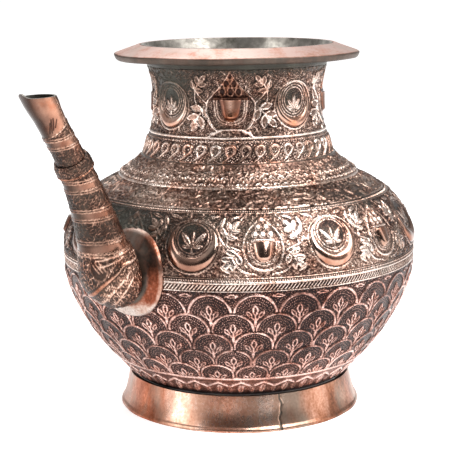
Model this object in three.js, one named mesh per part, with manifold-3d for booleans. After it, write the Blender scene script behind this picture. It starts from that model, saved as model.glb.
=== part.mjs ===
// A spouted water pot of chased and embossed copper sheet, in millimetres, +Z up.
// It stands on its foot ring with its spout along -X. The origin is on the ground, at the middle
// of the pot's length and width, so the pot's own axis stands a little towards +X.
import * as THREE from "three";
import { mergeVertices } from "three/addons/utils/BufferGeometryUtils.js";
import Module from "manifold-3d";

const wasm = await Module();
wasm.setup();

// Heights, each of one band of the pot, from the ground up.
const FOOT_HEIGHT = 19.5;
const BOWL_DEPTH = 75.5;
const FRIEZE_HEIGHT = 31;
const SHOULDER_RISE = 9.2;
const PETAL_RING_HEIGHT = 12.2;
const PAISLEY_BAND_HEIGHT = 12.4;
const NECK_HEIGHT = 50.2;
const BOWL_FLOOR_CLEARANCE = 8.5; // from the ground to the bowl's underside

// Outer radii.
const FOOT_BASE_RADIUS = 70;
const FOOT_TOP_RADIUS = 64.8;
const BOWL_FLOOR_RADIUS = 36;
const BELLY_RADIUS = 101.8;
const BEAD_RADIUS = 86;
const SHOULDER_RADIUS = 69;
const PETAL_RING_TOP_RADIUS = 56;
const PAISLEY_BAND_RADIUS = 54.6;
const NECK_FOOT_RADIUS = 51;
const NECK_WAIST_RADIUS = 48;
const MOUTH_RADIUS = 54.7;
const FLANGE_RADIUS = 70.1;

// The mouth ring: how far its top falls to its edge, how thick that edge is, and how far the
// edge draws in towards its underside.
const FLANGE_DROP = 4.8;
const FLANGE_EDGE = 3.5;
const FLANGE_UNDERCUT = 1.4;

// Sheet thicknesses, and the gap that brazing metal fills where one piece is fitted to another.
const BODY_WALL = 1.4;
const FOOT_WALL = 2;
const PLATE_WALL = 1.3;
const SPOUT_WALL = 1.3;
const BRAZE_GAP = 0.3;

// The spout. Its reach and rise run from its seat on the plate to the middle of its lip.
const SPOUT_REACH = 58.9;
const SPOUT_RISE = 101.1;
const SPOUT_DROP = 3; // its hole's centre lies this far under the belly seam
const SPOUT_HOLE_RADIUS = 8.4;
const SPOUT_BULB_RADIUS = 16;
const PLATE_RADIUS = 21.8;
const PLATE_EDGE = 1.6;
const PLATE_CROWN = 5; // how far the plate's seat stands off the belly
const COLLAR_LENGTH = 7.6;
const COLLAR_SWELL = 1.4;
const COLLAR_LIP = 0.9;

// The scales embossed on the bowl: arches in rows, each row half a scale aside of the next.
// Bearings are in degrees about the pot's axis, from +X.
const SCALES_ROUND = 26;
const SCALE_BEARING = 220.3;
const SCALE_RIDGE_WIDTH = 1.8;
const SCALE_RELIEF = 0.8;
const BORDER_HEIGHT = 14.5; // from the foot to the lowest row

// The rolled line just under the belly seam.
const SEAM_LINE_DROP = 3.2;
const SEAM_LINE_WIDTH = 1.8;

// The frieze: crescents and vases in turn. A crescent lies round a disc that is set high in it.
const MEDALLIONS_ROUND = 8;
const CRESCENT_BEARING = 201.3;
const CRESCENT_RADIUS = 13.9;
const CRESCENT_DISC_RADIUS = 9.4;
const CRESCENT_DISC_RISE = 4.2;
const CRESCENT_RELIEF = 2.2;
const CRESCENT_HORN_SINK = 0.6;
const VASE_BEARING = 223;
const BUCKET_HEIGHT = 9.7;
const BUCKET_TOP_WIDTH = 10.8;
const BUCKET_FOOT_WIDTH = 6.4;
const BUCKET_RELIEF = 1.9;
const BRIM_WIDTH = 13.2;
const BRIM_HEIGHT = 2.2;
const BRIM_RELIEF = 1.3;
const FRUIT_WIDTH = 3.5;
const FRUIT_HEIGHT = 5.2;
const FRUIT_RELIEF = 1.1;

// Corners round the pot, and round the spout.
const POT_SIDES = 48;
const SPOUT_SIDES = 24;
const SCALE_SIDES = 6; // to one scale
const CRESCENT_SIDES = 18;
const BUCKET_SIDES = 10;
const CUT_OVERRUN = 5;

// Levels that follow from the bands.
const SEAM_Z = FOOT_HEIGHT + BOWL_DEPTH;
const BEAD_Z = SEAM_Z + FRIEZE_HEIGHT;
const SHOULDER_Z = BEAD_Z + SHOULDER_RISE;
const STEP_Z = SHOULDER_Z + PETAL_RING_HEIGHT;
const NECK_Z = STEP_Z + PAISLEY_BAND_HEIGHT;
const MOUTH_Z = NECK_Z + NECK_HEIGHT;
const FLANGE_EDGE_Z = MOUTH_Z - FLANGE_DROP;
const FLANGE_UNDERSIDE_Z = FLANGE_EDGE_Z - FLANGE_EDGE;
const SPOUT_Z = SEAM_Z - SPOUT_DROP;

// A point between two others, with its own share of the way across and of the way up.
function between(low, high, acrossShare, upShare) {
  return new THREE.Vector2(
    low.x + (high.x - low.x) * acrossShare,
    low.y + (high.y - low.y) * upShare,
  );
}

const point = (radius, height) => new THREE.Vector2(radius, height);

// Outlines of the outer faces, from the bottom up.
// The bowl rests on the foot's inner top edge and runs from there to its widest, at the seam.
const BOWL_SEAT = point(FOOT_TOP_RADIUS - FOOT_WALL, FOOT_HEIGHT + Math.SQRT2 * BRAZE_GAP);
const BOWL_SHARES = [
  [0, 0],
  [0.215, 0.126],
  [0.412, 0.238],
  [0.576, 0.35],
  [0.712, 0.462],
  [0.828, 0.574],
  [0.919, 0.686],
  [0.982, 0.8],
  [1, 0.9],
  [1, 1],
];
const bowlOutline = BOWL_SHARES.map(([across, up]) =>
  between(BOWL_SEAT, point(BELLY_RADIUS, SEAM_Z), across, up),
);

// Under its seat the bowl curves in to a flat floor.
const BOWL_FLOOR_EDGE = point(BOWL_FLOOR_RADIUS, BOWL_FLOOR_CLEARANCE);
const UNDERSIDE_SHARES = [
  [0, 0],
  [0.5, 0.24],
  [0.8, 0.62],
];
const undersideOutline = UNDERSIDE_SHARES.map(([across, up]) =>
  between(BOWL_FLOOR_EDGE, BOWL_SEAT, across, up),
);

// The frieze falls inward as the square of its height, up to the bead line.
const FRIEZE_STEPS = 6;
const friezeOutline = Array.from({ length: FRIEZE_STEPS + 1 }, (_, i) => {
  const up = i / FRIEZE_STEPS;
  return point(BELLY_RADIUS - (BELLY_RADIUS - BEAD_RADIUS) * up ** 2, SEAM_Z + FRIEZE_HEIGHT * up);
});

// The shoulder is a nearly straight slope from the bead line to the groove under the petal ring.
const SHOULDER_CROWN_SHARES = [0.5, 0.56];
const shoulderOutline = [
  between(point(BEAD_RADIUS, BEAD_Z), point(SHOULDER_RADIUS, SHOULDER_Z), ...SHOULDER_CROWN_SHARES),
  point(SHOULDER_RADIUS, SHOULDER_Z),
];

// The collar between shoulder and neck: a bulging petal ring, a step, and a steep paisley band.
const PETAL_RING_SHARES = [
  [0, 0],
  [0.09, 0.17],
  [0.33, 0.35],
  [0.64, 0.6],
  [0.88, 0.84],
  [1, 1],
];
const petalOutline = PETAL_RING_SHARES.map(([across, up]) =>
  between(point(SHOULDER_RADIUS, SHOULDER_Z), point(PETAL_RING_TOP_RADIUS, STEP_Z), across, up),
);
const STEP_TREAD_SHARE = 0.06;
const paisleyOutline = [STEP_TREAD_SHARE, 1].map((up) =>
  between(point(PAISLEY_BAND_RADIUS, STEP_Z), point(NECK_FOOT_RADIUS, NECK_Z), up, up),
);

// The neck draws in to its waist, then flares to the mouth.
const NECK_SHARES = [
  [0, 0],
  [0.55, 0.1],
  [0.93, 0.28],
  [1, 0.48],
];
const FLARE_SHARES = [
  [0.03, 0.12],
  [0.25, 0.38],
  [0.64, 0.68],
  [1, 1],
];
const NECK_WAIST_SHARE = 0.48;
const NECK_WAIST = point(NECK_WAIST_RADIUS, NECK_Z + NECK_HEIGHT * NECK_WAIST_SHARE);
const neckOutline = [
  ...NECK_SHARES.map(([across, up]) =>
    point(
      NECK_FOOT_RADIUS + (NECK_WAIST_RADIUS - NECK_FOOT_RADIUS) * across,
      NECK_Z + NECK_HEIGHT * up,
    ),
  ),
  ...FLARE_SHARES.map(([across, up]) => between(NECK_WAIST, point(MOUTH_RADIUS, MOUTH_Z), across, up)),
];

// The radius of an outline at a height.
function radiusAt(outline, height) {
  const next = outline.findIndex((p) => p.y >= height);
  if (next < 1) return outline.at(next).x;
  const [low, high] = [outline[next - 1], outline[next]];
  return low.x + ((high.x - low.x) * (height - low.y)) / (high.y - low.y);
}

// The inner face of a sheet: its outline moved in by the wall. Both ends keep their height, so
// that neighbours meet on level edges.
function innerFace(outline, wall) {
  return outline.map((p, i) => {
    const before = outline[Math.max(i - 1, 0)];
    const after = outline[Math.min(i + 1, outline.length - 1)];
    const along = after.clone().sub(before).normalize();
    const outward = point(along.y, -along.x);
    const isEnd = i === 0 || i === outline.length - 1;
    return isEnd
      ? point(p.x - wall / outward.x, p.y)
      : point(p.x - wall * outward.x, p.y - wall * outward.y);
  });
}

// A solid of revolution about +Z from a closed profile that runs up its outer side first.
function turned(profile) {
  return new THREE.LatheGeometry([...profile, profile[0]], POT_SIDES).rotateX(Math.PI / 2);
}

const sheetRing = (outline, wall) => turned([...outline, ...innerFace(outline, wall).reverse()]);

// The foot ring splays from a level top under the bowl to a flat edge on the ground.
function footGeometry() {
  const base = point(FOOT_BASE_RADIUS, 0);
  const top = point(FOOT_TOP_RADIUS, FOOT_HEIGHT);
  const SPLAY_SHARES = [0.56, 0.42];
  return sheetRing([base, between(base, top, ...SPLAY_SHARES), top], FOOT_WALL);
}

// The mouth ring is fitted round the neck's flare, and its top slopes out and down to a thick edge.
function mouthRingGeometry() {
  const boreAt = (height) => radiusAt(neckOutline, height) + BRAZE_GAP;
  const underside = FLANGE_UNDERSIDE_Z;
  const boreLevels = neckOutline.map((p) => p.y).filter((y) => y > underside && y < MOUTH_Z);
  return turned([
    point(boreAt(underside), underside),
    point(FLANGE_RADIUS - FLANGE_UNDERCUT, underside),
    point(FLANGE_RADIUS, FLANGE_EDGE_Z),
    point(boreAt(MOUTH_Z), MOUTH_Z),
    ...boreLevels.reverse().map((y) => point(boreAt(y), y)),
  ]);
}

// A closed mesh as a solid that can be cut, and back again.
function solidFrom(geometry) {
  const bare = geometry.clone();
  bare.deleteAttribute("normal");
  bare.deleteAttribute("uv");
  const merged = mergeVertices(bare);
  return new wasm.Manifold(
    new wasm.Mesh({
      numProp: 3,
      vertProperties: new Float32Array(merged.attributes.position.array),
      triVerts: new Uint32Array(merged.index.array),
    }),
  );
}

function geometryFrom(solid) {
  const mesh = solid.getMesh();
  const geometry = new THREE.BufferGeometry();
  geometry.setAttribute("position", new THREE.BufferAttribute(new Float32Array(mesh.vertProperties), 3));
  geometry.setIndex(new THREE.BufferAttribute(new Uint32Array(mesh.triVerts), 1));
  geometry.computeVertexNormals();
  return geometry;
}

// The hole through the belly behind the spout straddles the seam, so it is cut from both sheets.
const holeLength = BELLY_RADIUS;
const holeDrill = solidFrom(
  new THREE.CylinderGeometry(SPOUT_HOLE_RADIUS, SPOUT_HOLE_RADIUS, holeLength, SPOUT_SIDES)
    .rotateZ(Math.PI / 2)
    .translate(-holeLength / 2 - BELLY_RADIUS / 2, 0, SPOUT_Z),
);

// Joins closed rings of points into one closed skin. Each ring is a loop of vectors, and the last
// ring joins the first.
function loopOfRings(rings) {
  const sides = rings[0].length;
  const index = [];
  rings.forEach((_, i) => {
    const here = i * sides;
    const next = ((i + 1) % rings.length) * sides;
    for (let j = 0; j < sides; j++) {
      const k = (j + 1) % sides;
      index.push(here + j, next + k, here + k, here + j, next + j, next + k);
    }
  });
  const geometry = new THREE.BufferGeometry().setFromPoints(rings.flat());
  geometry.setIndex(index);
  geometry.computeVertexNormals();
  return geometry;
}

// A body from rings of points, from its lowest ring to its highest, with a flat face across each end.
function bodyOfRings(rings) {
  const sides = rings[0].length;
  const top = (rings.length - 1) * sides;
  const bottomMiddle = rings.length * sides;
  const topMiddle = bottomMiddle + 1;
  const index = [];
  for (let j = 0; j < sides; j++) {
    const k = (j + 1) % sides;
    for (let low = 0; low < top; low += sides) {
      const high = low + sides;
      index.push(low + j, low + k, high + k, low + j, high + k, high + j);
    }
    index.push(bottomMiddle, k, j, topMiddle, top + j, top + k);
  }
  const middles = [rings[0][0], rings.at(-1)[0]].map((p) => new THREE.Vector3(0, 0, p.z));
  const geometry = new THREE.BufferGeometry().setFromPoints([...rings.flat(), ...middles]);
  return geometry.setIndex(index);
}

// The round body within an outline, and a point past the outline's first or last end.
function bodyWithin(outline) {
  const profile = [point(0, outline[0].y), ...outline, point(0, outline.at(-1).y)];
  return new THREE.LatheGeometry(profile, POT_SIDES).rotateX(Math.PI / 2);
}

function pastEnd(outline, end) {
  const overrun = end === 0 ? -CUT_OVERRUN : CUT_OVERRUN;
  return point(outline.at(end).x, outline.at(end).y + overrun);
}

// The length of an outline up to a height.
function runAt(outline, height) {
  return outline.slice(1).reduce((run, high, i) => {
    const low = outline[i];
    const share = THREE.MathUtils.clamp((height - low.y) / (high.y - low.y), 0, 1);
    return run + share * low.distanceTo(high);
  }, 0);
}

// A point by its run up a sheet's outline, how far it lies aside of a bearing, and its lift.
function onSheet(path, run, aside, lift, bearing) {
  const share = THREE.MathUtils.clamp(run / path.getLength(), 0, 1);
  const at = path.getPoint(share);
  const along = path.getTangent(share);
  const angle = THREE.MathUtils.degToRad(bearing) + aside / at.x;
  const radius = at.x + lift * along.y;
  return new THREE.Vector3(radius * Math.cos(angle), radius * Math.sin(angle), at.y - lift * along.x);
}

// Ornament is left off where the spout's plate is fitted over it.
const isNearPlate = (p, margin) => p.x < 0 && Math.hypot(p.y, p.z - SPOUT_Z) < PLATE_RADIUS + margin;

// The bowl's outer face. Its columns are the corners of the scales.
const bowlPath = new THREE.Path(bowlOutline);
const BOWL_SIDES = SCALES_ROUND * SCALE_SIDES;
const COLUMN_WIDTH = (2 * Math.PI * BELLY_RADIUS) / BOWL_SIDES;
const columns = Array.from({ length: BOWL_SIDES }, (_, j) => j);
const columnBearing = (j) => SCALE_BEARING + (360 * j) / BOWL_SIDES;

function bowlRing(runs, lift) {
  return runs.map((run, j) => {
    const flat = onSheet(bowlPath, run, 0, 0, columnBearing(j));
    return isNearPlate(flat, COLUMN_WIDTH) ? flat : onSheet(bowlPath, run, 0, lift, columnBearing(j));
  });
}

const levelRing = (height, lift = 0) => bowlRing(columns.map(() => runAt(bowlOutline, height)), lift);

// Each row is a ridge that follows its arches: its inner foot, its crest and its outer foot. It
// stays above the row under it, whose arches cover its own ends.
const SCALE_APEX_SHARES = [0.311, 0.448, 0.592, 0.742, 0.881];
const RIDGE_INSET_SHARES = [1, 0.5, 0];
function scaleRings() {
  const halfScale = SCALE_SIDES / 2;
  let below = columns.map(() => runAt(bowlOutline, FOOT_HEIGHT + BORDER_HEIGHT));
  return SCALE_APEX_SHARES.flatMap((apexShare, row) => {
    const height = FOOT_HEIGHT + BOWL_DEPTH * apexShare;
    const apexRun = runAt(bowlOutline, height);
    const halfWidth = (Math.PI * radiusAt(bowlOutline, height)) / SCALES_ROUND;
    return RIDGE_INSET_SHARES.map((insetShare) => {
      const bend = halfWidth - SCALE_RIDGE_WIDTH * insetShare;
      below = below.map((run, j) => {
        const steps = Math.abs(((j + halfScale * (1 + row)) % SCALE_SIDES) - halfScale);
        const aside = (halfWidth * steps) / halfScale;
        const arch = apexRun - halfWidth + Math.sqrt(Math.max(0, bend ** 2 - aside ** 2));
        return Math.max(arch, run + SCALE_RIDGE_WIDTH / 2);
      });
      return bowlRing(below, insetShare === 0.5 ? SCALE_RELIEF : 0);
    });
  });
}

// The rolled line: it rises from the sheet and falls back to it, with a flat top.
const SEAM_LINE_SHARES = [
  [-0.5, 0],
  [-0.25, 1],
  [0.25, 1],
  [0.5, 0],
];
const seamLineRings = () =>
  SEAM_LINE_SHARES.map(([upShare, liftShare]) =>
    levelRing(SEAM_Z - SEAM_LINE_DROP + SEAM_LINE_WIDTH * upShare, SCALE_RELIEF * liftShare),
  );

// The bowl is closed at its floor. Under the lowest scales its face is plain.
function bowlGeometry() {
  const plain = ({ x: radius, y: height }) =>
    columns.map((j) => {
      const angle = THREE.MathUtils.degToRad(columnBearing(j));
      return new THREE.Vector3(radius * Math.cos(angle), radius * Math.sin(angle), height);
    });
  const outside = bodyOfRings([
    ...undersideOutline.map(plain),
    plain(BOWL_SEAT),
    levelRing(FOOT_HEIGHT + BORDER_HEIGHT / 2),
    levelRing(FOOT_HEIGHT + BORDER_HEIGHT),
    ...scaleRings(),
    ...seamLineRings(),
    levelRing(SEAM_Z),
  ]);
  const inner = innerFace([...undersideOutline, ...bowlOutline], BODY_WALL).slice(1);
  const floorEdge = point(BOWL_FLOOR_RADIUS, BOWL_FLOOR_CLEARANCE + BODY_WALL);
  const hollow = solidFrom(bodyWithin([floorEdge, ...inner, pastEnd(inner, -1)]));
  return geometryFrom(solidFrom(outside).subtract(hollow).subtract(holeDrill));
}

// A flat shape laid on a sheet: its X goes aside of a bearing, its Y up the run and its Z off the sheet.
function laid(shape, path, run, bearing) {
  const geometry = shape.clone();
  const at = geometry.attributes.position;
  for (let i = 0; i < at.count; i++) {
    at.setXYZ(i, ...onSheet(path, run + at.getY(i), at.getX(i), at.getZ(i), bearing));
  }
  return geometry;
}

// A crescent: a ridge between an outer circle and the disc's, thick below and thin above, where its
// horns sink into the sheet. Its edges start under the sheet's flat sides.
const CRESCENT_SECTION_SHARES = [
  [0.5, -1],
  [1, 0],
  [0.75, 0.87],
  [0.25, 0.87],
  [0, 0],
];
const FACET_SAG = BELLY_RADIUS * (1 - Math.cos(Math.PI / POT_SIDES));
function crescentShape() {
  const thickest = CRESCENT_RADIUS - CRESCENT_DISC_RADIUS + CRESCENT_DISC_RISE;
  const sections = Array.from({ length: CRESCENT_SIDES }, (_, i) => {
    const angle = (2 * Math.PI * i) / CRESCENT_SIDES;
    const down = point(Math.sin(angle), -Math.cos(angle));
    const onDisc = down.clone().multiplyScalar(CRESCENT_DISC_RADIUS).add(point(0, CRESCENT_DISC_RISE));
    const onRim = down.clone().multiplyScalar(CRESCENT_RADIUS);
    const share = onDisc.distanceTo(onRim) / thickest;
    const height = CRESCENT_RELIEF * share + FACET_SAG;
    const sunk = FACET_SAG + CRESCENT_HORN_SINK * (1 - share);
    return CRESCENT_SECTION_SHARES.map(([outShare, upShare]) => {
      const { x, y } = onDisc.clone().lerp(onRim, outShare);
      return new THREE.Vector3(x, y, height * upShare - sunk);
    });
  });
  return loopOfRings(sections);
}

// A vase: a bucket, its brim, and a heap of fruit, each half sunk in the sheet.
const FRUIT_ROWS = [3, 2, 1];
const FRUIT_ASIDE_SHARE = 1.05;
const FRUIT_UP_SHARE = 0.77;
function vaseShapes() {
  const [topRadius, footRadius] = [BUCKET_TOP_WIDTH / 2, BUCKET_FOOT_WIDTH / 2];
  const bucket = new THREE.CylinderGeometry(topRadius, footRadius, BUCKET_HEIGHT, BUCKET_SIDES)
    .scale(1, 1, BUCKET_RELIEF / topRadius)
    .translate(0, -BUCKET_HEIGHT / 2, 0);
  const brim = new THREE.BoxGeometry(BRIM_WIDTH, BRIM_HEIGHT, 2 * BRIM_RELIEF);
  const fruit = new THREE.OctahedronGeometry(1).scale(FRUIT_WIDTH / 2, FRUIT_HEIGHT / 2, FRUIT_RELIEF);
  const heap = FRUIT_ROWS.flatMap((count, row) =>
    Array.from({ length: count }, (_, k) => {
      const aside = FRUIT_WIDTH * FRUIT_ASIDE_SHARE * (k - (count - 1) / 2);
      return fruit.clone().translate(aside, FRUIT_HEIGHT * (0.5 + FRUIT_UP_SHARE * row), 0);
    }),
  );
  return [bucket, brim, ...heap];
}

// The upper belly, with its ornament joined on before the sheet is hollowed.
const friezePath = new THREE.Path(friezeOutline);
const CRESCENT_RUN_SHARE = 0.46;
const BRIM_RUN_SHARE = 0.54;
function upperBellyGeometry() {
  const outline = [...friezeOutline, ...shoulderOutline];
  const inner = innerFace(outline, BODY_WALL);
  const crescentRun = friezePath.getLength() * CRESCENT_RUN_SHARE;
  const brimRun = friezePath.getLength() * BRIM_RUN_SHARE;
  const ornament = Array.from({ length: MEDALLIONS_ROUND }, (_, i) => (360 * i) / MEDALLIONS_ROUND).flatMap(
    (turn) => {
      const crescent = laid(crescentShape(), friezePath, crescentRun, CRESCENT_BEARING + turn);
      const vaseBearing = VASE_BEARING + turn;
      const isHidden = isNearPlate(onSheet(friezePath, brimRun, 0, 0, vaseBearing), BRIM_WIDTH / 2);
      const vase = isHidden ? [] : vaseShapes().map((shape) => laid(shape, friezePath, brimRun, vaseBearing));
      return [crescent, ...vase];
    },
  );
  const plain = solidFrom(bodyWithin(outline));
  const embossed = ornament.reduce((solid, shape) => solid.add(solidFrom(shape)), plain);
  const hollow = solidFrom(bodyWithin([pastEnd(inner, 0), ...inner, pastEnd(inner, -1)]));
  return geometryFrom(embossed.subtract(hollow).subtract(holeDrill));
}

const ringAngles = Array.from({ length: SPOUT_SIDES }, (_, j) => (2 * Math.PI * j) / SPOUT_SIDES);

// How far the belly stands from the pot's axis towards the spout, beside and above the hole.
const potOutline = [...bowlOutline, ...friezeOutline.slice(1), ...shoulderOutline];
const bellyFront = (aside, height) => Math.sqrt(radiusAt(potOutline, height) ** 2 - aside ** 2);
const SEAT_X = bellyFront(0, SPOUT_Z) + PLATE_CROWN;

// The spout's sections from seat to lip: where each centre lies, as shares of the reach and rise,
// how big it is, as shares of the bulb's radius, and how far its face is turned up from facing out.
const SPOUT_CENTRE_SHARES = [
  [0, 0],
  [0.03, 0.01],
  [0.075, 0.022],
  [0.13, 0.042],
  [0.182, 0.077],
  [0.222, 0.135],
  [0.262, 0.22],
  [0.375, 0.39],
  [0.506, 0.548],
  [0.592, 0.64],
  [0.677, 0.721],
  [0.793, 0.817],
  [0.895, 0.91],
  [1, 1],
];
const SPOUT_RADIUS_SHARES = [
  0.66, 0.94, 1.05, 1.07, 1.05, 0.94, 0.78, 0.65, 0.56, 0.5, 0.462, 0.456, 0.481, 0.612,
];
const SPOUT_BREADTH_SHARES = [1, 1, 1, 1, 1, 1, 1, 1, 1, 1, 1, 1, 1, 0.86];
const SPOUT_TURN_DEGREES = [0, 1, 7, 19, 36, 53, 67, 67, 63, 61, 59, 57, 58, 88];

const centreLine = new THREE.CatmullRomCurve3(
  SPOUT_CENTRE_SHARES.map(
    ([out, up]) => new THREE.Vector3(SEAT_X + SPOUT_REACH * out, SPOUT_RISE * up + SPOUT_Z, 0),
  ),
);
const sectionLine = new THREE.CatmullRomCurve3(
  SPOUT_RADIUS_SHARES.map(
    (share, i) =>
      new THREE.Vector3(
        SPOUT_BULB_RADIUS * share,
        SPOUT_BREADTH_SHARES[i],
        THREE.MathUtils.degToRad(SPOUT_TURN_DEGREES[i]),
      ),
  ),
);
const SPOUT_LENGTH = centreLine.getLength();

// A ring of the spout at a length share along its centre line, grown or shrunk by an offset.
function spoutRing(lengthShare, offset) {
  const t = centreLine.getUtoTmapping(lengthShare);
  const centre = centreLine.getPoint(t);
  const { x: radius, y: breadthShare, z: turn } = sectionLine.getPoint(t);
  const tall = radius + offset;
  const broad = radius * breadthShare + offset;
  return ringAngles.map((a) => {
    const inPlane = tall * Math.cos(a);
    return new THREE.Vector3(
      -(centre.x + inPlane * Math.sin(turn)),
      broad * Math.sin(a),
      centre.y - inPlane * Math.cos(turn),
    );
  });
}

// A tube of the spout between two length shares, open at both ends.
function spoutTube(fromShare, toShare, steps) {
  const shares = Array.from({ length: steps + 1 }, (_, i) => fromShare + ((toShare - fromShare) * i) / steps);
  const outer = shares.map((s) => spoutRing(s, 0));
  const inner = shares.map((s) => spoutRing(s, -SPOUT_WALL)).reverse();
  return loopOfRings([...outer, ...inner]);
}

// Where the spout's pieces part, and the collar: a swollen band with a lip at its lower edge,
// fitted round the two tubes' butt joint.
const ROOT_END_SHARE = 0.27;
const ROOT_STEPS = 10;
const LOWER_TUBE_STEPS = 5;
const UPPER_TUBE_STEPS = 6;
const COLLAR_SHARE = 0.637;
const COLLAR_PROFILE_SHARES = [
  [-0.5, 0.42],
  [-0.42, 1],
  [-0.3, 0.74],
  [-0.05, 1],
  [0.25, 0.86],
  [0.5, 0.2],
];
function collarGeometry() {
  const lengthShare = (alongShare) => COLLAR_SHARE + (COLLAR_LENGTH * alongShare) / SPOUT_LENGTH;
  const swell = (share) => BRAZE_GAP + COLLAR_LIP + (COLLAR_SWELL - COLLAR_LIP) * share;
  const outer = COLLAR_PROFILE_SHARES.map(([along, share]) => spoutRing(lengthShare(along), swell(share)));
  const bore = COLLAR_PROFILE_SHARES.map(([along]) => spoutRing(lengthShare(along), BRAZE_GAP)).reverse();
  return loopOfRings([...outer, ...bore]);
}

// The plate is a dished disc hammered to the belly round the hole. Its crown is a flat seat, and
// its back follows the dish until it meets the belly near the rim.
const SEAT_RADIUS = SPOUT_BULB_RADIUS * SPOUT_RADIUS_SHARES[0];
const DISH_SHARES = [0, 0.3, 0.6, 0.85, 1];
const DISH_POWER = 1.5;
function plateGeometry() {
  const at = (angle, radius, pick) => {
    const aside = radius * Math.sin(angle);
    const height = SPOUT_Z - radius * Math.cos(angle);
    const rimFront =
      bellyFront(PLATE_RADIUS * Math.sin(angle), SPOUT_Z - PLATE_RADIUS * Math.cos(angle)) + PLATE_EDGE;
    const fall = Math.max(0, (radius - SEAT_RADIUS) / (PLATE_RADIUS - SEAT_RADIUS)) ** DISH_POWER;
    const front = SEAT_X + (rimFront - SEAT_X) * fall;
    const back = Math.max(front - PLATE_WALL, bellyFront(aside, height) + BRAZE_GAP);
    return new THREE.Vector3(-pick(front, back), aside, height);
  };
  const radii = [
    SPOUT_HOLE_RADIUS,
    ...DISH_SHARES.map((share) => SEAT_RADIUS + (PLATE_RADIUS - SEAT_RADIUS) * share),
  ];
  const ring = (radius, pick) => ringAngles.map((a) => at(a, radius, pick));
  const face = radii.map((r) => ring(r, (front) => front)).reverse();
  const back = radii.map((r) => ring(r, (front, behind) => behind));
  return loopOfRings([...back, ...face]);
}

// Finishes, as seen on an old pot: dark chased sheet, worn bare copper, and a tinned mouth.
const finish = (color, roughness) => new THREE.MeshStandardMaterial({ color, roughness, metalness: 1 });
const chasedCopper = finish(0x7a4a3c, 0.45);
const bareCopper = finish(0xc98a70, 0.35);
const spoutCopper = finish(0x8a5c44, 0.4);

const pot = new THREE.Group();
function addPiece(name, geometry, material) {
  const piece = new THREE.Mesh(geometry, material);
  piece.name = name;
  pot.add(piece);
}

addPiece("foot_ring", footGeometry(), bareCopper);
addPiece("lower_bowl", bowlGeometry(), chasedCopper);
addPiece("upper_belly", upperBellyGeometry(), chasedCopper);
addPiece("shoulder_collar", sheetRing([...petalOutline, ...paisleyOutline], BODY_WALL), chasedCopper);
addPiece("neck_sleeve", sheetRing(neckOutline, BODY_WALL), chasedCopper);
addPiece("mouth_ring", mouthRingGeometry(), bareCopper);
addPiece("spout_plate", plateGeometry(), bareCopper);
addPiece("spout_root", spoutTube(0, ROOT_END_SHARE, ROOT_STEPS), spoutCopper);
addPiece(
  "spout_lower_tube",
  spoutTube(ROOT_END_SHARE, COLLAR_SHARE, LOWER_TUBE_STEPS),
  spoutCopper,
);
addPiece("spout_collar", collarGeometry(), spoutCopper);
addPiece("spout_upper_tube", spoutTube(COLLAR_SHARE, 1, UPPER_TUBE_STEPS), spoutCopper);

// The origin lies under the middle of the pot's length, from the lip to the belly's far side.
const { min, max } = new THREE.Box3().setFromObject(pot);
pot.position.x = -(min.x + max.x) / 2;

export default pot;
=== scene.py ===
import math
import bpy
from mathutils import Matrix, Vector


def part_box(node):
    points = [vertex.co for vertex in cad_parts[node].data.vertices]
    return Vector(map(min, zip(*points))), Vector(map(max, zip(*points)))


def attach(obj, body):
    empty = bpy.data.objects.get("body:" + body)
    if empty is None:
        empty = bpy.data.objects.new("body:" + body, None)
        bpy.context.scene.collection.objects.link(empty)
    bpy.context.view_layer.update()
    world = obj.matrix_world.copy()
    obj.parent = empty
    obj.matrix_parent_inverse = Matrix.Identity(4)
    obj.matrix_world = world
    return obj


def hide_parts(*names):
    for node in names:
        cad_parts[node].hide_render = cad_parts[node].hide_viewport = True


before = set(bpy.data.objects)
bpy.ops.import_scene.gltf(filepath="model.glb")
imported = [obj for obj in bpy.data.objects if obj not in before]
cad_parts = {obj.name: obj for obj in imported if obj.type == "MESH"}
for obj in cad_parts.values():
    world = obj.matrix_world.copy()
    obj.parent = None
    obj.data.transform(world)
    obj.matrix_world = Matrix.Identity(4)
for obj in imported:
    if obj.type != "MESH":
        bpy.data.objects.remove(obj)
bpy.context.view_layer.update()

from types import SimpleNamespace

import bpy
import numpy as np
from mathutils import Matrix, Vector

MM = 0.001
SEED = 7

# The pot's own axis, from the foot ring's box, and the side that faces the photographer.
FOOT_LOW, FOOT_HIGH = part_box("foot_ring")
AXIS_X = (FOOT_LOW[0] + FOOT_HIGH[0]) / 2 / MM
FRONT = 216  # degrees about the axis, anticlockwise from +X
FOOT_HEIGHT = FOOT_HIGH[2] / MM

# Levels between the bands, in mm from the ground.
BORDER_Z = 33
SCALES_MIDDLE_Z = 60
SCALES_TOP_Z = 87.3
SEAM_Z = 95
BEAD_Z = 126
BEAD_TOP_Z = 127.3
SHOULDER_Z = 135.2
STEP_Z = 147.4
NECK_Z = 159.8
NECK_TOP_Z = 198
MOUTH_Z = 210
WALL = 1.4

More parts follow.
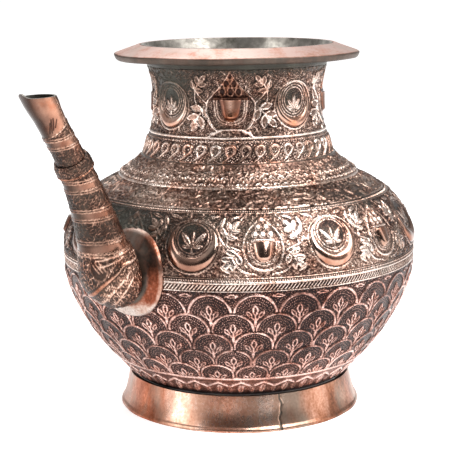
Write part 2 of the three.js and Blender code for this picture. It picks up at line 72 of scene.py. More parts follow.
# The body's outline as (radius, height) in mm, one smooth run to a band.
UNDERSIDE = [(36, 8.5), (49.4, 11.24), (57.4, 15.58), (62.8, 19.92)]
BOWL_FOOT = (62.8, 19.92)
BELLY_RADIUS = 101.8
BOWL_SHARES = [
    (0, 0), (0.215, 0.126), (0.412, 0.238), (0.576, 0.35), (0.712, 0.462),
    (0.828, 0.574), (0.919, 0.686), (0.982, 0.8), (1, 0.9), (1, 1),
]
BEAD_RADIUS = 86
SHOULDER_LINE = [(86, 126), (77.5, 131.15), (69, 135.2)]
PETAL_LINE = [(69, 135.2), (67.8, 137.3), (64.7, 139.5), (60.7, 142.5), (57.6, 145.4), (56, 147.4)]
PAISLEY_LINE = [(54.6, 147.5), (51, 159.8)]
NECK_LINE = [
    (51, 159.8), (49.4, 164.8), (48.2, 173.9), (48, 183.9), (48.2, 187),
    (49.7, 193.8), (52.3, 201.6), (54.7, 210),
]
FOOT_LINE = [(70, 0), (67.1, 8.2), (64.8, 19.5)]


# Lines and surfaces

def curve(points, count=24):
    """A smooth line through the points, with that many steps between neighbours."""
    p = np.array(points, float)
    if len(p) == 2:
        t = np.linspace(0, 1, count + 1)[:, None]
        return p[0] + (p[1] - p[0]) * t
    ends = np.vstack([2 * p[0] - p[1], p, 2 * p[-1] - p[-2]])
    parts = []
    for a, b, c, d in zip(ends, ends[1:], ends[2:], ends[3:]):
        t = np.linspace(0, 1, count, endpoint=False)[:, None]
        square, cube = 2 * a - 5 * b + 4 * c - d, 3 * b - a - 3 * c + d
        parts.append(0.5 * (2 * b + (c - a) * t + square * t**2 + cube * t**3))
    return np.vstack(parts + [p[-1:]])


def lengths_along(line):
    """The distance run at each point of a line."""
    return np.concatenate([[0], np.cumsum(np.hypot(*np.diff(line, axis=0).T))])


def bowl_line():
    foot = np.array(BOWL_FOOT)
    rise = np.array([BELLY_RADIUS, SEAM_Z]) - foot
    return curve([foot + rise * share for share in np.array(BOWL_SHARES)])


def frieze_line():
    up = np.linspace(0, 1, 120)
    radius = BELLY_RADIUS - (BELLY_RADIUS - BEAD_RADIUS) * up**2
    return np.column_stack([radius, SEAM_Z + (BEAD_Z - SEAM_Z) * up])


def stretch(line, low, high, step):
    """Evenly spaced points of a rising line between two heights, and their run along it."""
    run = lengths_along(line)
    start, end = np.interp([low, high], line[:, 1], run)
    s = np.linspace(start, end, max(2, math.ceil((end - start) / step)) + 1)
    return np.column_stack([np.interp(s, run, line[:, 0]), np.interp(s, run, line[:, 1])]), s


def outward(points):
    """The unit normal of a line that rises on a pot's outer side."""
    along = np.gradient(points, axis=0)
    along /= np.hypot(*along.T)[:, None]
    return np.column_stack([along[:, 1], -along[:, 0]])


# Bodies that are spun from a closed profile

TOUCHING = MM / 1000  # points nearer than this are one
POINTS_AT_ONCE = 20000
SMOOTH_ANGLE = 62  # degrees


def clear_selection():
    bpy.ops.object.select_all(action="DESELECT")


def spun(name, profile, columns):
    """A closed ring about the Z axis, and the profile point and the angle that each of its points came from."""
    profile = np.array(profile, float)
    clear_selection()
    bpy.ops.mesh.primitive_circle_add(vertices=len(profile), radius=MM)
    piece = bpy.context.object
    piece.name = piece.data.name = name
    start = np.column_stack([profile[:, 0], np.zeros(len(profile)), profile[:, 1]]) * MM
    piece.data.vertices.foreach_set("co", start.ravel())
    turn = piece.modifiers.new("turn", "SCREW")
    turn.axis = "Z"
    turn.angle = 2 * math.pi
    turn.steps = turn.render_steps = columns
    turn.use_merge_vertices = True
    turn.merge_threshold = TOUCHING
    bpy.ops.object.modifier_apply(modifier="turn")
    bpy.ops.object.mode_set(mode="EDIT")
    bpy.ops.mesh.select_all(action="SELECT")
    bpy.ops.mesh.remove_doubles(threshold=TOUCHING)
    bpy.ops.mesh.normals_make_consistent(inside=False)
    bpy.ops.object.mode_set(mode="OBJECT")
    place = places(piece)
    radius = np.hypot(place[:, 0], place[:, 1])
    index = np.empty(len(place), int)
    for part in np.array_split(np.arange(len(place)), 1 + len(place) // POINTS_AT_ONCE):
        gap = (radius[part, None] - profile[:, 0]) ** 2 + (place[part, 2, None] - profile[:, 1]) ** 2
        index[part] = gap.argmin(axis=1)
    angle = np.degrees(np.arctan2(place[:, 1], place[:, 0])) % 360
    return piece, index, angle


def places(piece):
    """A piece's points in mm."""
    values = np.empty(len(piece.data.vertices) * 3)
    piece.data.vertices.foreach_get("co", values)
    return values.reshape(-1, 3) / MM


def put(piece, x, y, z):
    """Moves a piece's points, given in mm."""
    piece.data.vertices.foreach_set("co", (np.column_stack([x, y, z]) * MM).ravel())
    piece.data.update()


def write_marks(piece, wear_and_painted_shading, tarnish_and_painted_shading=None, punch=None):
    """Keeps how worn each point is, how tarnished (below 0, how orange), and its place in the punch marks. In
    places the first two also carry painted light and shade.
    """
    marks = piece.data.attributes
    if tarnish_and_painted_shading is None:
        tarnish_and_painted_shading = np.zeros(len(wear_and_painted_shading))
    if punch is None:
        punch = np.zeros((len(wear_and_painted_shading), 3))
    marks.new("wear_and_painted_shading", "FLOAT", "POINT").data.foreach_set("value", wear_and_painted_shading)
    marks.new("punch", "FLOAT_VECTOR", "POINT").data.foreach_set("vector", punch.ravel())
    marks.new("tarnish_and_painted_shading", "FLOAT", "POINT").data.foreach_set("value", tarnish_and_painted_shading)


def mark_chasing(piece, front, relief, tarnish_and_painted_shading):
    """Keeps the marks of a chased outer face, whose points are those in front. The others are left plain."""
    wear_and_painted_shading = np.zeros(len(front))
    wear_and_painted_shading[front] = relief.wear_and_painted_shading
    punch = np.zeros((len(front), 3))
    punch[front] = np.column_stack([relief.punch, relief.ground])
    tarnish_and_painted_shading[front] -= relief.fresh_and_painted_light
    write_marks(piece, wear_and_painted_shading, tarnish_and_painted_shading, punch)


def finish_piece(piece, node, materials, inner=None):
    """Smooths a piece, gives it its finishes and sets it in the frame. The inner faces take the second."""
    mesh = piece.data
    for material in materials:
        mesh.materials.append(material)
    if inner is not None:
        corner = np.empty(len(mesh.loops), int)
        first, count = np.empty((2, len(mesh.polygons)), int)
        mesh.loops.foreach_get("vertex_index", corner)
        mesh.polygons.foreach_get("loop_start", first)
        mesh.polygons.foreach_get("loop_total", count)
        share = np.add.reduceat(inner[corner].astype(float), first) / count
        mesh.polygons.foreach_set("material_index", (share > 0.4).astype(np.int32))
    clear_selection()
    piece.select_set(True)
    bpy.context.view_layer.objects.active = piece
    bpy.ops.object.shade_smooth_by_angle(angle=math.radians(SMOOTH_ANGLE))
    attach(piece, "root")
    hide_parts(node)


# Chased relief

def ease(value, low, high):
    t = np.clip((value - low) / (high - low), 0, 1)
    return t * t * (3 - 2 * t)


class Relief:
    """The chased face of a band: its height in mm, how worn and how orange it is, and how punched it is. How
    worn and how orange also carry painted light and shade in places.
    """

    def __init__(self, across, along):
        self.height = np.zeros(len(across))
        self.wear_and_painted_shading = np.zeros(len(across))
        self.ground = np.ones(len(across))
        self.kept = np.zeros(len(across), bool)
        self.fresh_and_painted_light = np.zeros(len(across))
        shaken = across + 0.5 * np.sin(along * 2.1 + across * 0.7)
        self.punch = np.column_stack([shaken, along + 0.5 * np.sin(across * 1.9)])

    def level(self, where):
        self.height[where] = 0
        self.wear_and_painted_shading[where] = 0
        self.ground[where] = 1

    def raise_by(self, share, height, wear_and_painted_shading=1.0):
        """Raises by a share of a height. A share a little under 0 lies beside the form, and is kept clear."""
        self.kept |= share > -0.8
        share = np.clip(share, 0, 1)
        self.height = np.maximum(self.height, share * height)
        self.wear_and_painted_shading = np.maximum(self.wear_and_painted_shading, np.minimum(1, share * 1.5) * wear_and_painted_shading)
        self.ground = np.where(share > 0.02, 0, self.ground)

    def sink_by(self, share, depth):
        self.height = self.height - share * depth
        self.wear_and_painted_shading = self.wear_and_painted_shading * (1 - 0.8 * share)

    def darken_edges(self, amount):
        """Takes some of the brightness off the plain ground that lies beside the main forms."""
        self.wear_and_painted_shading = np.where(self.kept & (self.height < 0.1), self.wear_and_painted_shading - amount, self.wear_and_painted_shading)

    def burnish(self, where, wear_and_painted_shading, fresh_and_painted_light=0.0):
        """Rubs an area smooth: its ground is marked -1, where a punched one is 1 and a plain one 0."""
        self.wear_and_painted_shading = np.where(where, wear_and_painted_shading, self.wear_and_painted_shading)
        self.fresh_and_painted_light = np.where(where, fresh_and_painted_light, self.fresh_and_painted_light)
        self.ground = np.where(where, -1, self.ground)

    def line(self, distance, half_width, height, wear_and_painted_shading=1.0):
        self.raise_by(1 - (distance / half_width) ** 2, height, wear_and_painted_shading)


def to_segment(x, y, start, end):
    """How far each point is from a straight line, and the share of the line's length where it comes nearest."""
    dx, dy = end[0] - start[0], end[1] - start[1]
    t = np.clip(((x - start[0]) * dx + (y - start[1]) * dy) / (dx * dx + dy * dy), 0, 1)
    return np.hypot(x - start[0] - t * dx, y - start[1] - t * dy), t


def path_distance(x, y, points):
    best = np.full(x.shape, 1e9)
    for start, end in zip(points[:-1], points[1:]):
        best = np.minimum(best, to_segment(x, y, start, end)[0])
    return best


def stroke(relief, x, y, points, widths, height, wear_and_painted_shading=1.0):
    """A raised line whose half-width changes evenly along it."""
    share = np.full(x.shape, -1.0)
    wide = np.interp(np.linspace(0, 1, len(points)), np.linspace(0, 1, len(widths)), widths)
    for start, end, w0, w1 in zip(points[:-1], points[1:], wide[:-1], wide[1:]):
        distance, t = to_segment(x, y, start, end)
        share = np.maximum(share, 1 - (distance / (w0 + (w1 - w0) * t)) ** 2)
    relief.raise_by(share, height, wear_and_painted_shading)


def turned_to(x, y, centre, lean):
    """Coordinates across and along an upright shape that stands at a centre and leans clockwise."""
    c, s = math.cos(math.radians(lean)), math.sin(math.radians(lean))
    dx, dy = x - centre[0], y - centre[1]
    return dx * c - dy * s, dx * s + dy * c


def almond(x, y, centre, lean, length, width):
    """How far in from the edge of a pointed oval each point lies, from 0 at the edge to 1 on its midline."""
    across, along = turned_to(x, y, centre, lean)
    half = width / 2 * np.clip(1 - (2 * along / length) ** 2, 0, 1) ** 0.8
    inward = np.where(half > 0, 1 - np.abs(across) / np.maximum(half, 1e-6), -1)
    return inward, half


def leaf(relief, x, y, centre, lean, length, width, height, wear_and_painted_shading=1.0, vein=0.25):
    """A domed leaf with a chased midrib."""
    inward, half = almond(x, y, centre, lean, length, width)
    inside = np.clip(inward, 0, 1)
    beside = np.where(inward > -0.45, -0.5, -1)
    relief.raise_by(np.where(inward > 0, np.sqrt(inside * (2 - inside)), beside), height, wear_and_painted_shading)
    if vein:
        relief.sink_by(np.clip(1 - (1 - inside) * half / 0.35, 0, 1) * (inside > 0), vein)


def bud(relief, x, y, centre, lean, length, width, height, line, wear_and_painted_shading=1.0):
    """An outlined bud: a loop of raised line round a hollow."""
    inward, half = almond(x, y, centre, lean, length, width)
    from_edge = inward * half
    ridge = np.clip(1 - ((from_edge - line / 2) / (line / 2)) ** 2, 0, 1)
    relief.raise_by(ridge * (inward > 0) - (inward <= 0), height, wear_and_painted_shading)


def oval(relief, x, y, centre, width, tall, height, wear_and_painted_shading, hollow):
    """A fruit: a domed oval with a pricked heart, or, if it is hollow, an oval line round a dark heart."""
    out = np.hypot((x - centre[0]) / (width / 2), (y - centre[1]) / (tall / 2))
    if hollow:
        relief.raise_by(1 - ((out - 0.82) / 0.24) ** 2, height * 0.7, wear_and_painted_shading)
        relief.ground[out < 0.6] = 0
    else:
        relief.raise_by(np.where(out < 1, np.sqrt(np.clip(1 - out**2, 0, 1)), -1), height, wear_and_painted_shading)
        relief.height = relief.height - 0.4 * np.clip(1 - out / 0.4, 0, 1)


# Each pair of lobes is (place on the midrib, spread in degrees, length, width), in shares of the leaf's size.
OAK_LOBES = [(0.1, 64, 0.48, 0.31), (0.37, 44, 0.5, 0.3)]


def oak_leaf(relief, x, y, foot, lean, size, height, wear_and_painted_shading=1.0, hollow=False):
    """A lobed leaf on its midrib: lobes in pairs, and one at the tip. Hollow lobes are only outlined."""
    up = (math.sin(math.radians(lean)), math.cos(math.radians(lean)))

    def lobe(share, turn, length, width):
        reach = size * length / 2
        centre = (foot[0] + up[0] * size * share + math.sin(math.radians(turn)) * reach,
                  foot[1] + up[1] * size * share + math.cos(math.radians(turn)) * reach)
        if hollow:
            leaf(relief, x, y, centre, turn, size * length, size * width, height * 0.7, wear_and_painted_shading * 0.4, 0)
            bud(relief, x, y, centre, turn, size * length, size * width, height, 1.15, wear_and_painted_shading)
        else:
            leaf(relief, x, y, centre, turn, size * length, size * width, height, wear_and_painted_shading, 0.4)

    for share, spread, length, width in OAK_LOBES:
        for side in (-1, 1):
            lobe(share, lean + side * spread, length, width)
    lobe(0.57, lean, 0.46, 0.29)
    tip = (foot[0] + up[0] * size * 0.7, foot[1] + up[1] * size * 0.7)
    relief.line(path_distance(x, y, [foot, tip]), 0.5, height * 0.9, wear_and_painted_shading)


def folded(theta, start, cell):
    """Degrees from the middle of the nearest cell, and that cell's number."""
    number = np.round((theta - start) / cell)
    return theta - start - number * cell, number.astype(int)


def medallion(relief, x, y, rim, disc, rise, leaves, rings):
    """A raised rim round a domed crescent that holds a disc with a sprig. y is from the rim's centre."""
    out = np.hypot(x, y)
    inn = np.hypot(x, y - rise)
    relief.level(out < rim)
    relief.line(out - rim, 0.7, 0.75, 0.66 + 0.2 * np.sin(2 * np.arctan2(x, y) + 0.8))
    from_rim = rim - 1.0 - out
    from_disc = inn - disc - 0.2
    thick = np.maximum(from_rim + from_disc, 0.1)
    share = np.clip(1 - ((from_rim - from_disc) / thick) ** 2, 0, 1) * (from_rim > 0) * (from_disc > 0)
    relief.raise_by(np.sqrt(share) * np.minimum(1, thick / 7) - (out > rim + 0.8), 2.2, 0)
    relief.burnish((from_rim > 0.1) & (from_disc > 0.1), 0.62, 0.48 * ease(-y, 2, rim - 4))
    for number in range(rings):
        relief.line(inn - disc + 0.35 + number * 1.45, 0.42, 0.45, 0.75)
    base = rise - disc * 0.55
    for lean, length, width in leaves:
        reach = length / 2 + 0.6
        centre = (math.sin(math.radians(lean)) * reach, base + math.cos(math.radians(lean)) * reach)
        leaf(relief, x, y, centre, lean, length, width, 0.75, 0.95)
    relief.line(path_distance(x, y, [(0, base + 1), (0, base - disc * 0.22)]), 0.55, 0.6, 0.9)


def vase(relief, x, y, brim, foot, half_top, half_foot, rim_half, rim_wear, fruit, hollow=False):
    """A smooth tapered bucket under a rim band, with a heap of fruit above. y is in mm of the band."""
    t = (y - foot) / (brim - foot)
    half = half_foot + (half_top - half_foot) * np.clip(t, 0, 1)
    half = half * np.sqrt(np.clip(1 - (np.clip(0.38 - t, 0, 1) / 0.5) ** 2, 0.01, 1))
    rounded = np.sqrt(np.clip(1 - (x / half) ** 2, 0, 1)) * (t > -0.12) * (t < 1)
    relief.raise_by(rounded * ease(t, -0.12, 0.12) - (rounded <= 0), 2.2, 0)
    relief.burnish((np.abs(x) < half - 0.2) & (t > -0.08) & (t < 1), 0.6, 0.35)
    for ring in range(2):
        wide, low = half_top + 1.5 + 1.4 * ring, foot - 1.6 - 1.1 * ring
        u = curve([(wide, brim), (wide * 0.93, foot + 3.4), (wide * 0.62, low + 1.6), (0, low)], 6)
        relief.line(path_distance(np.abs(x), y, u), 0.45, 0.45, 0.7)
    band = np.minimum((rim_half - np.abs(x)) / 0.8, (1.1 - np.abs(y - brim - 0.9)) / 0.6)
    relief.raise_by(np.clip(band, -1, 1), 1.3, rim_wear)
    for row, many in enumerate((3, 2, 1)):
        for k in range(many):
            centre = ((k - (many - 1) / 2) * fruit * 1.05, brim + 1.9 + fruit * 0.62 + row * fruit * 1.08)
            oval(relief, x, y, centre, fruit, fruit * 1.3, 1.3, 0.6 if hollow else 0.85, hollow)


def strewn(relief, x, y, low, high, pitch, seed, size, height, wear_and_painted_shading=0.8):
    """Small curls and drops that fill the ground between two corners, one to each square of a shaken grid."""
    rng = np.random.default_rng(seed)
    grid = [(cx, cy) for cx in np.arange(low[0], high[0], pitch) for cy in np.arange(low[1], high[1], pitch)]
    free = ~relief.kept & (relief.height < 0.12)
    for (cx, cy), (dx, dy, lean, grow, kind) in zip(grid, rng.uniform(0, 1, (len(grid), 5))):
        cx, cy = cx + (dx - 0.5) * pitch * 0.8, cy + (dy - 0.5) * pitch * 0.8
        near = np.flatnonzero((np.abs(x - cx) < size * 1.3) & (np.abs(y - cy) < size * 1.3) & free)
        if not len(near):
            continue
        px, py = x[near], y[near]
        if kind < 0.45:
            inward, _ = almond(px, py, (cx, cy), lean * 360, size * (0.8 + 0.5 * grow), size * 0.42)
            share = np.clip(inward * 1.5, 0, 1)
        else:
            radius = size * (0.3 + 0.16 * grow)
            sweep = (np.arctan2(py - cy, px - cx) + lean * 2 * math.pi) % (2 * math.pi)
            from_curl = (np.hypot(px - cx, py - cy) - radius) / (size * 0.15)
            share = np.clip(1 - from_curl**2, 0, 1) * (sweep < 3.9)
        relief.height[near] = np.maximum(relief.height[near], share * height)
        relief.wear_and_painted_shading[near] = np.maximum(relief.wear_and_painted_shading[near], share * wear_and_painted_shading * (0.5 + 0.5 * dx))
        relief.ground[near] = np.where(share > 0, 0, relief.ground[near])


def wobble(theta, z):
    """How far the hammered sheet strays from a true round, in mm."""
    a = np.radians(theta)
    return 0.22 * np.sin(3 * a + 0.4 + z * 0.013) + 0.16 * np.sin(5 * a + 2 + z * 0.031) + 0.1 * np.sin(
        11 * a + z * 0.09) + 0.07 * np.sin(17 * a - z * 0.17 + 1)


# Places made darker and greyer: behind the spout, on the neck beside it, on the shoulder and at the back. The
# one on the shoulder is painted shade on its right side.
# Each is (bearing from the front, height, spread in degrees, spread in mm, strength).
DULL_AND_SHADED_PLACES = [
    (-44, 115, 23, 12, 1), (-50, 191, 26, 14, 0.9), (42, 131, 34, 6, 0.4),
    (150, 100, 50, 18, 0.7), (-130, 150, 40, 20, 0.6),
]


def tarnish_and_shade_at(theta, z):
    # Darker and greyer too on the flare under the mouth ring.
    amount = 0.65 * ease(z, 190, 200)
    for bearing, level, wide, tall, strength in DULL_AND_SHADED_PLACES:
        away = ((theta - bearing + 180) % 360 - 180) / wide
        amount = np.maximum(amount, strength * np.exp(-away**2 - ((z - level) / tall) ** 2))
    return amount


def fading(theta, bearing, spread):
    """1 at a bearing, and fading to 0 on both sides of it."""
    return np.exp(-(((theta - bearing) / spread) ** 2))


# The bands of the body

def band(name, node, slot, line, low, high, columns, step, chase, materials, wall=WALL):
    """A closed ring of sheet between two heights whose outer face is chased."""
    outer, s = stretch(line, low, high, step)
    normal = outward(outer)
    keep = np.unique(np.linspace(0, len(outer) - 1, max(3, len(outer) // 8)).astype(int))
    inner = outer[keep] - normal[keep] * wall
    for end in (0, -1):
        inner[end] = outer[end] - (wall / normal[end, 0], 0)
    profile = np.vstack([outer, inner[::-1]])
    piece, index, angle = spun(name, profile, columns)
    front = index < len(outer)
    at = index[front]
    theta = (angle[front] - FRONT + 180) % 360 - 180
    where = SimpleNamespace(theta=theta, r=outer[at, 0], z=outer[at, 1], s=s[at] - s[0], run=s[at])
    where.x = np.radians(theta) * where.r
    relief = Relief(where.x, where.s)
    chase(relief, where)
    height = np.zeros(len(index))
    height[front] = relief.height
    all_theta = (angle - FRONT + 180) % 360 - 180
    radius = profile[index, 0] + wobble(all_theta, profile[index, 1])
    level = profile[index, 1].copy()
    radius[front] += normal[at, 0] * relief.height
    level[front] += normal[at, 1] * relief.height
    turn = np.radians(angle)
    put(piece, AXIS_X + radius * np.cos(turn), radius * np.sin(turn), level)
    mark_chasing(piece, front, relief, tarnish_and_shade_at(all_theta, profile[index, 1]))
    finish_piece(piece, node, materials, ~front)


SCALES_ROUND = 26
SCALE_CELL = 360 / SCALES_ROUND
SCALE_START = 4.3
SCALE_APEX_Z = [86, 75.5, 64.2, 53.3, 43, 33.5]


def chase_scales(relief, at):
    """Overlapping arches in rows, each with a sprig on a ground of dots that follow the arch."""
    bowl = bowl_line()
    apex_run = np.interp(SCALE_APEX_Z, bowl[:, 1], lengths_along(bowl))
    rng = np.random.default_rng(SEED)
    jitter = rng.uniform(-1, 1, (len(SCALE_APEX_Z), SCALES_ROUND + 2, 3))
    for row, apex in enumerate(apex_run):
        offset, number = folded(at.theta, SCALE_START - (row % 2) * SCALE_CELL / 2, SCALE_CELL)
        shake = jitter[row, number % SCALES_ROUND]
        x = np.radians(offset) * at.r - shake[:, 0] * 0.25
        y = at.run - apex - shake[:, 1] * 0.45
        half = np.radians(SCALE_CELL / 2) * at.r
        centre = y + half
        distance = np.where(centre > 0, np.hypot(x, centre), np.abs(x)) - half
        inside = distance < 0.2
        relief.level(inside)
        down_side = np.sign(x) * (half * math.pi / 2 - centre)
        around = np.where(centre > 0, np.arctan2(x, np.maximum(centre, 1e-6)) * half, down_side)
        relief.punch[inside] = np.column_stack([around, distance])[inside]
        part = Relief(x, y)
        line = 0.8 + 0.14 * shake[:, 2] + 0.17 * np.sin(around * 0.7 + shake[:, 0] * 5)
        rubbed = 0.86 + 0.12 * shake[:, 1] + 0.1 * np.sin(around * 0.5 + shake[:, 2] * 7)
        part.raise_by(1 - ((distance + 0.8) / line) ** 2, 0.8, rubbed)
        x, y = x + (y + 12) * 0.07 * shake[:, 2], y + 0.4 * shake[:, 0]
        bud(part, x, y, (0, -9.3), 0, 6.8, 3.7, 0.7, 1.25)
        for side in (-1, 1):
            bud(part, x, y, (side * 3.2, -11.6), side * 34, 5.6, 2.9, 0.6, 1.1, 0.9)
            part.line(path_distance(x, y, [(side * 1.7, -13.8), (0, -16)]), 0.55, 0.6, 0.9)
        thick = np.interp(-y, [11.5, 14, 17, 20.5], [0.6, 0.65, 1.15, 0.15])
        part.raise_by(np.clip(1 - (x / thick) ** 2, 0, 1) * (y < -11.8) * (y > -20.5), 0.6, 0.95)
        hit = inside & (part.height > 0)
        relief.height[hit] = part.height[hit]
        relief.wear_and_painted_shading[hit] = part.wear_and_painted_shading[hit]
        relief.ground[hit] = 0
    offset, _ = folded(at.theta, SCALE_START - SCALE_CELL / 2, SCALE_CELL)
    top_run = np.interp(85, bowl[:, 1], lengths_along(bowl))
    bud(relief, np.radians(offset) * at.r, at.run - top_run, (0, 0), 90, 8, 2.1, 0.5, 0.8)
    relief.wear_and_painted_shading = np.clip(0.84 * relief.wear_and_painted_shading + 0.14 * (1 - ease(at.z, 33, 50)), 0, 1)


def chase_border(relief, at):
    """A wavy line with hanging leaves and dark dots under a plain rubbed band."""
    waves = 35
    phase, number = folded(at.theta, 0, 360 / waves)
    x = np.radians(phase) * at.r + 0.5 * np.sin(number * 2.3)
    tooth = np.abs(x) / (math.pi * at.r / waves)
    leaf(relief, x, at.z, (0, 24.9), 8, 6.5, 4.2, 0.8, 0.85, 0.5)
    phase, _ = folded(at.theta, 180 / waves, 360 / waves)
    between = np.radians(phase) * at.r
    leaf(relief, between, at.z, (0, 24), -12, 5, 3, 0.6, 0.7, 0.4)
    relief.line(at.z - 29.6 + 3.2 * tooth, 0.9, 0.8, 1)
    relief.sink_by(np.clip(1 - np.hypot(between, at.z - 27.4) / 1.3, 0, 1), 0.7)
    relief.line(at.z - 32, 1.1, 0.6, 0.95)
    relief.ground[:] = 0
    relief.wear_and_painted_shading = np.maximum(relief.wear_and_painted_shading, 0.5 * ease(at.z, 20.3, 22.6))


STROKES = 320
BEADS = 480


def chase_herringbone(relief, at):
    """Slanted strokes between two lines, a polished bevel, and a line of beads."""
    relief.line(at.z - 87.5, 0.5, 0.45, 0.95)
    stroke = (at.theta * STROKES / 360 - (at.z - 88) * 0.42) % 1
    rows = ease(at.z, 87.9, 88.3) * (1 - ease(at.z, 90.7, 91.1))
    relief.raise_by(np.clip(1 - (np.abs(stroke - 0.5) / 0.33) ** 2, 0, 1) * rows, 0.5, 0.95)
    relief.ground[:] = 0
    bevel = ease(at.z, 91.0, 91.4) * (1 - ease(at.z, 92.2, 92.5))
    relief.raise_by(bevel, 0.7, 0.95)
    bead = (at.theta * BEADS / 360) % 1 - 0.5
    round_bead = np.clip(1 - (bead / 0.42) ** 2 - ((at.z - 93.2) / 0.62) ** 2, 0, 1)
    relief.raise_by(np.sqrt(round_bead), 0.55, 0.9)
    relief.line(at.z - 94.3, 0.45, 0.5, 0.8)


def chase_beads(relief, at):
    bead = (at.theta * BEADS / 360) % 1 - 0.5
    round_bead = np.clip(1 - (bead / 0.42) ** 2 - ((at.z - 126.6) / 0.5) ** 2, 0, 1)
    relief.ground[:] = 0
    relief.raise_by(np.sqrt(round_bead), 0.6, 0.85)


FRIEZE_CELL = 45
CRESCENT_START = -14.8
VASE_START = 7
# The leaves of a medallion's sprig, each (lean in degrees, length, width).
PALMETTE = [(-78, 5.4, 2.1), (-37, 10.4, 3.3), (0, 9.4, 1.6), (37, 10.4, 3.3), (78, 5.4, 2.1)]
# Half the outline of the frame round a vase, from its top down.
CARTOUCHE = [(0, 33.6), (2.6, 30), (6.6, 25.5), (9.6, 20), (10.5, 14), (8.6, 7.6), (4.8, 4.4), (0, 3.3)]


def chase_frieze(relief, at):
    """Crescent medallions and vases in turn, with oak leaves and stems between."""
    offset, _ = folded(at.theta, VASE_START, FRIEZE_CELL)
    x = np.radians(offset) * at.r
    y = at.s
    for side in (-1, 1):
        mirrored = x * side
        oak_leaf(relief, mirrored, y, (20, 21), -42, 12.5, 1.1)
        oak_leaf(relief, mirrored, y, (13.2, 12.8), 136, 12.5, 1.1)
        leaf(relief, mirrored, y, (20.2, 29.5), -25, 8, 2.8, 0.9)
        leaf(relief, mirrored, y, (24.5, 32.8), -75, 7, 2.6, 0.8)
        leaf(relief, mirrored, y, (13.5, 32.6), -70, 7, 2.4, 0.8)
        leaf(relief, mirrored, y, (20.5, 4.2), 55, 7, 2.4, 0.8)
        near = curve([(4, 1.2), (12, 3.5), (17.5, 11.5), (18.8, 18), (14.5, 26), (8, 34)], 6)
        stroke(relief, mirrored, y, near, [0.5, 0.7, 0.6, 0.5], 0.7, 0.9)
        cross = curve([(12.4, 13.6), (16.4, 15.4), (20.2, 17), (22.5, 21.5)], 5)
        stroke(relief, mirrored, y, cross, [0.8, 0.7, 0.5], 0.7, 0.9)
    strewn(relief, x, y, (-39, 1), (39, 35), 2.4, SEED + 1, 2.8, 0.6, 0.75)
    mirror = np.abs(x)
    edge = np.interp(y, *np.array(CARTOUCHE)[::-1].T[::-1])
    inside = path_distance(mirror, y, curve(CARTOUCHE, 6))
    hollow = mirror < edge
    relief.level(hollow)
    part = Relief(x, y)
    vase(part, x, y, 18.3, 8.6, 5.4, 3.9, 6.6, 0.9, 3.9)
    hit = hollow & (part.height > 0)
    relief.height[hit] = part.height[hit]
    relief.wear_and_painted_shading[hit] = part.wear_and_painted_shading[hit]
    relief.fresh_and_painted_light[hit] = part.fresh_and_painted_light[hit]
    relief.ground[hollow] = part.ground[hollow]
    relief.line(inside, 0.75, 0.8, 0.8)
    offset, _ = folded(at.theta, CRESCENT_START, FRIEZE_CELL)
    x = np.radians(offset) * at.r
    medallion(relief, x, y - 16.3, 14.7, 10.1, 4.1, PALMETTE, 2)
    relief.line(y - 35.4, 0.6, 0.45, 0.7)
    # Besides the relief's own wear, the frieze is made lighter to the front right, a painted highlight where
    # the key light falls, and darker to the left, painted shade.
    relief.wear_and_painted_shading = 0.24 + 0.66 * relief.wear_and_painted_shading + 0.14 * fading(at.theta, 26, 28)
    relief.wear_and_painted_shading -= 0.18 * fading(at.theta, -50, 24)
    relief.darken_edges(0.22)
    relief.ground = np.where(relief.ground > 0, 0.5, relief.ground)


def chase_shoulder(relief, at):
    """A running scroll with leaves, worn low."""
    waves = 22
    phase = np.radians(at.theta) * waves
    middle = 9.2 + 2.9 * np.sin(phase)
    slope = np.sqrt(1 + (2.9 * waves / at.r * np.cos(phase)) ** 2)
    relief.line((at.s - middle) / slope, 0.6, 0.45, 0.7)
    for side, lean in ((0, 30), (180, 150)):
        offset, _ = folded(at.theta, side / waves + 90 / waves, 360 / waves)
        x = np.radians(offset) * at.r
        top = 9.2 - 2.2 * (1 if side == 0 else -1)
        for shift, turn in ((-3.4, lean - 55), (0, lean), (3.6, lean + 50)):
            leaf(relief, x, at.s, (shift, top), turn, 7.5, 3, 0.8, 0.9)
    turn = np.radians(at.theta) * 78
    strewn(relief, turn, at.s, (-245, 2), (245, 17.6), 3, SEED + 2, 3.8, 0.7, 0.65)
    relief.ground[:] = 0
    relief.wear_and_painted_shading = 0.48 + 0.27 * relief.wear_and_painted_shading
    relief.line(at.s - 0.8, 0.6, 0.4, 0.8)
    relief.line(at.s - 18.1, 0.6, 0.4, 0.75)
    relief.sink_by(np.clip(1 - np.abs(at.s - 19.1) / 0.5, 0, 1), 0.4)


PETALS_ROUND = 84


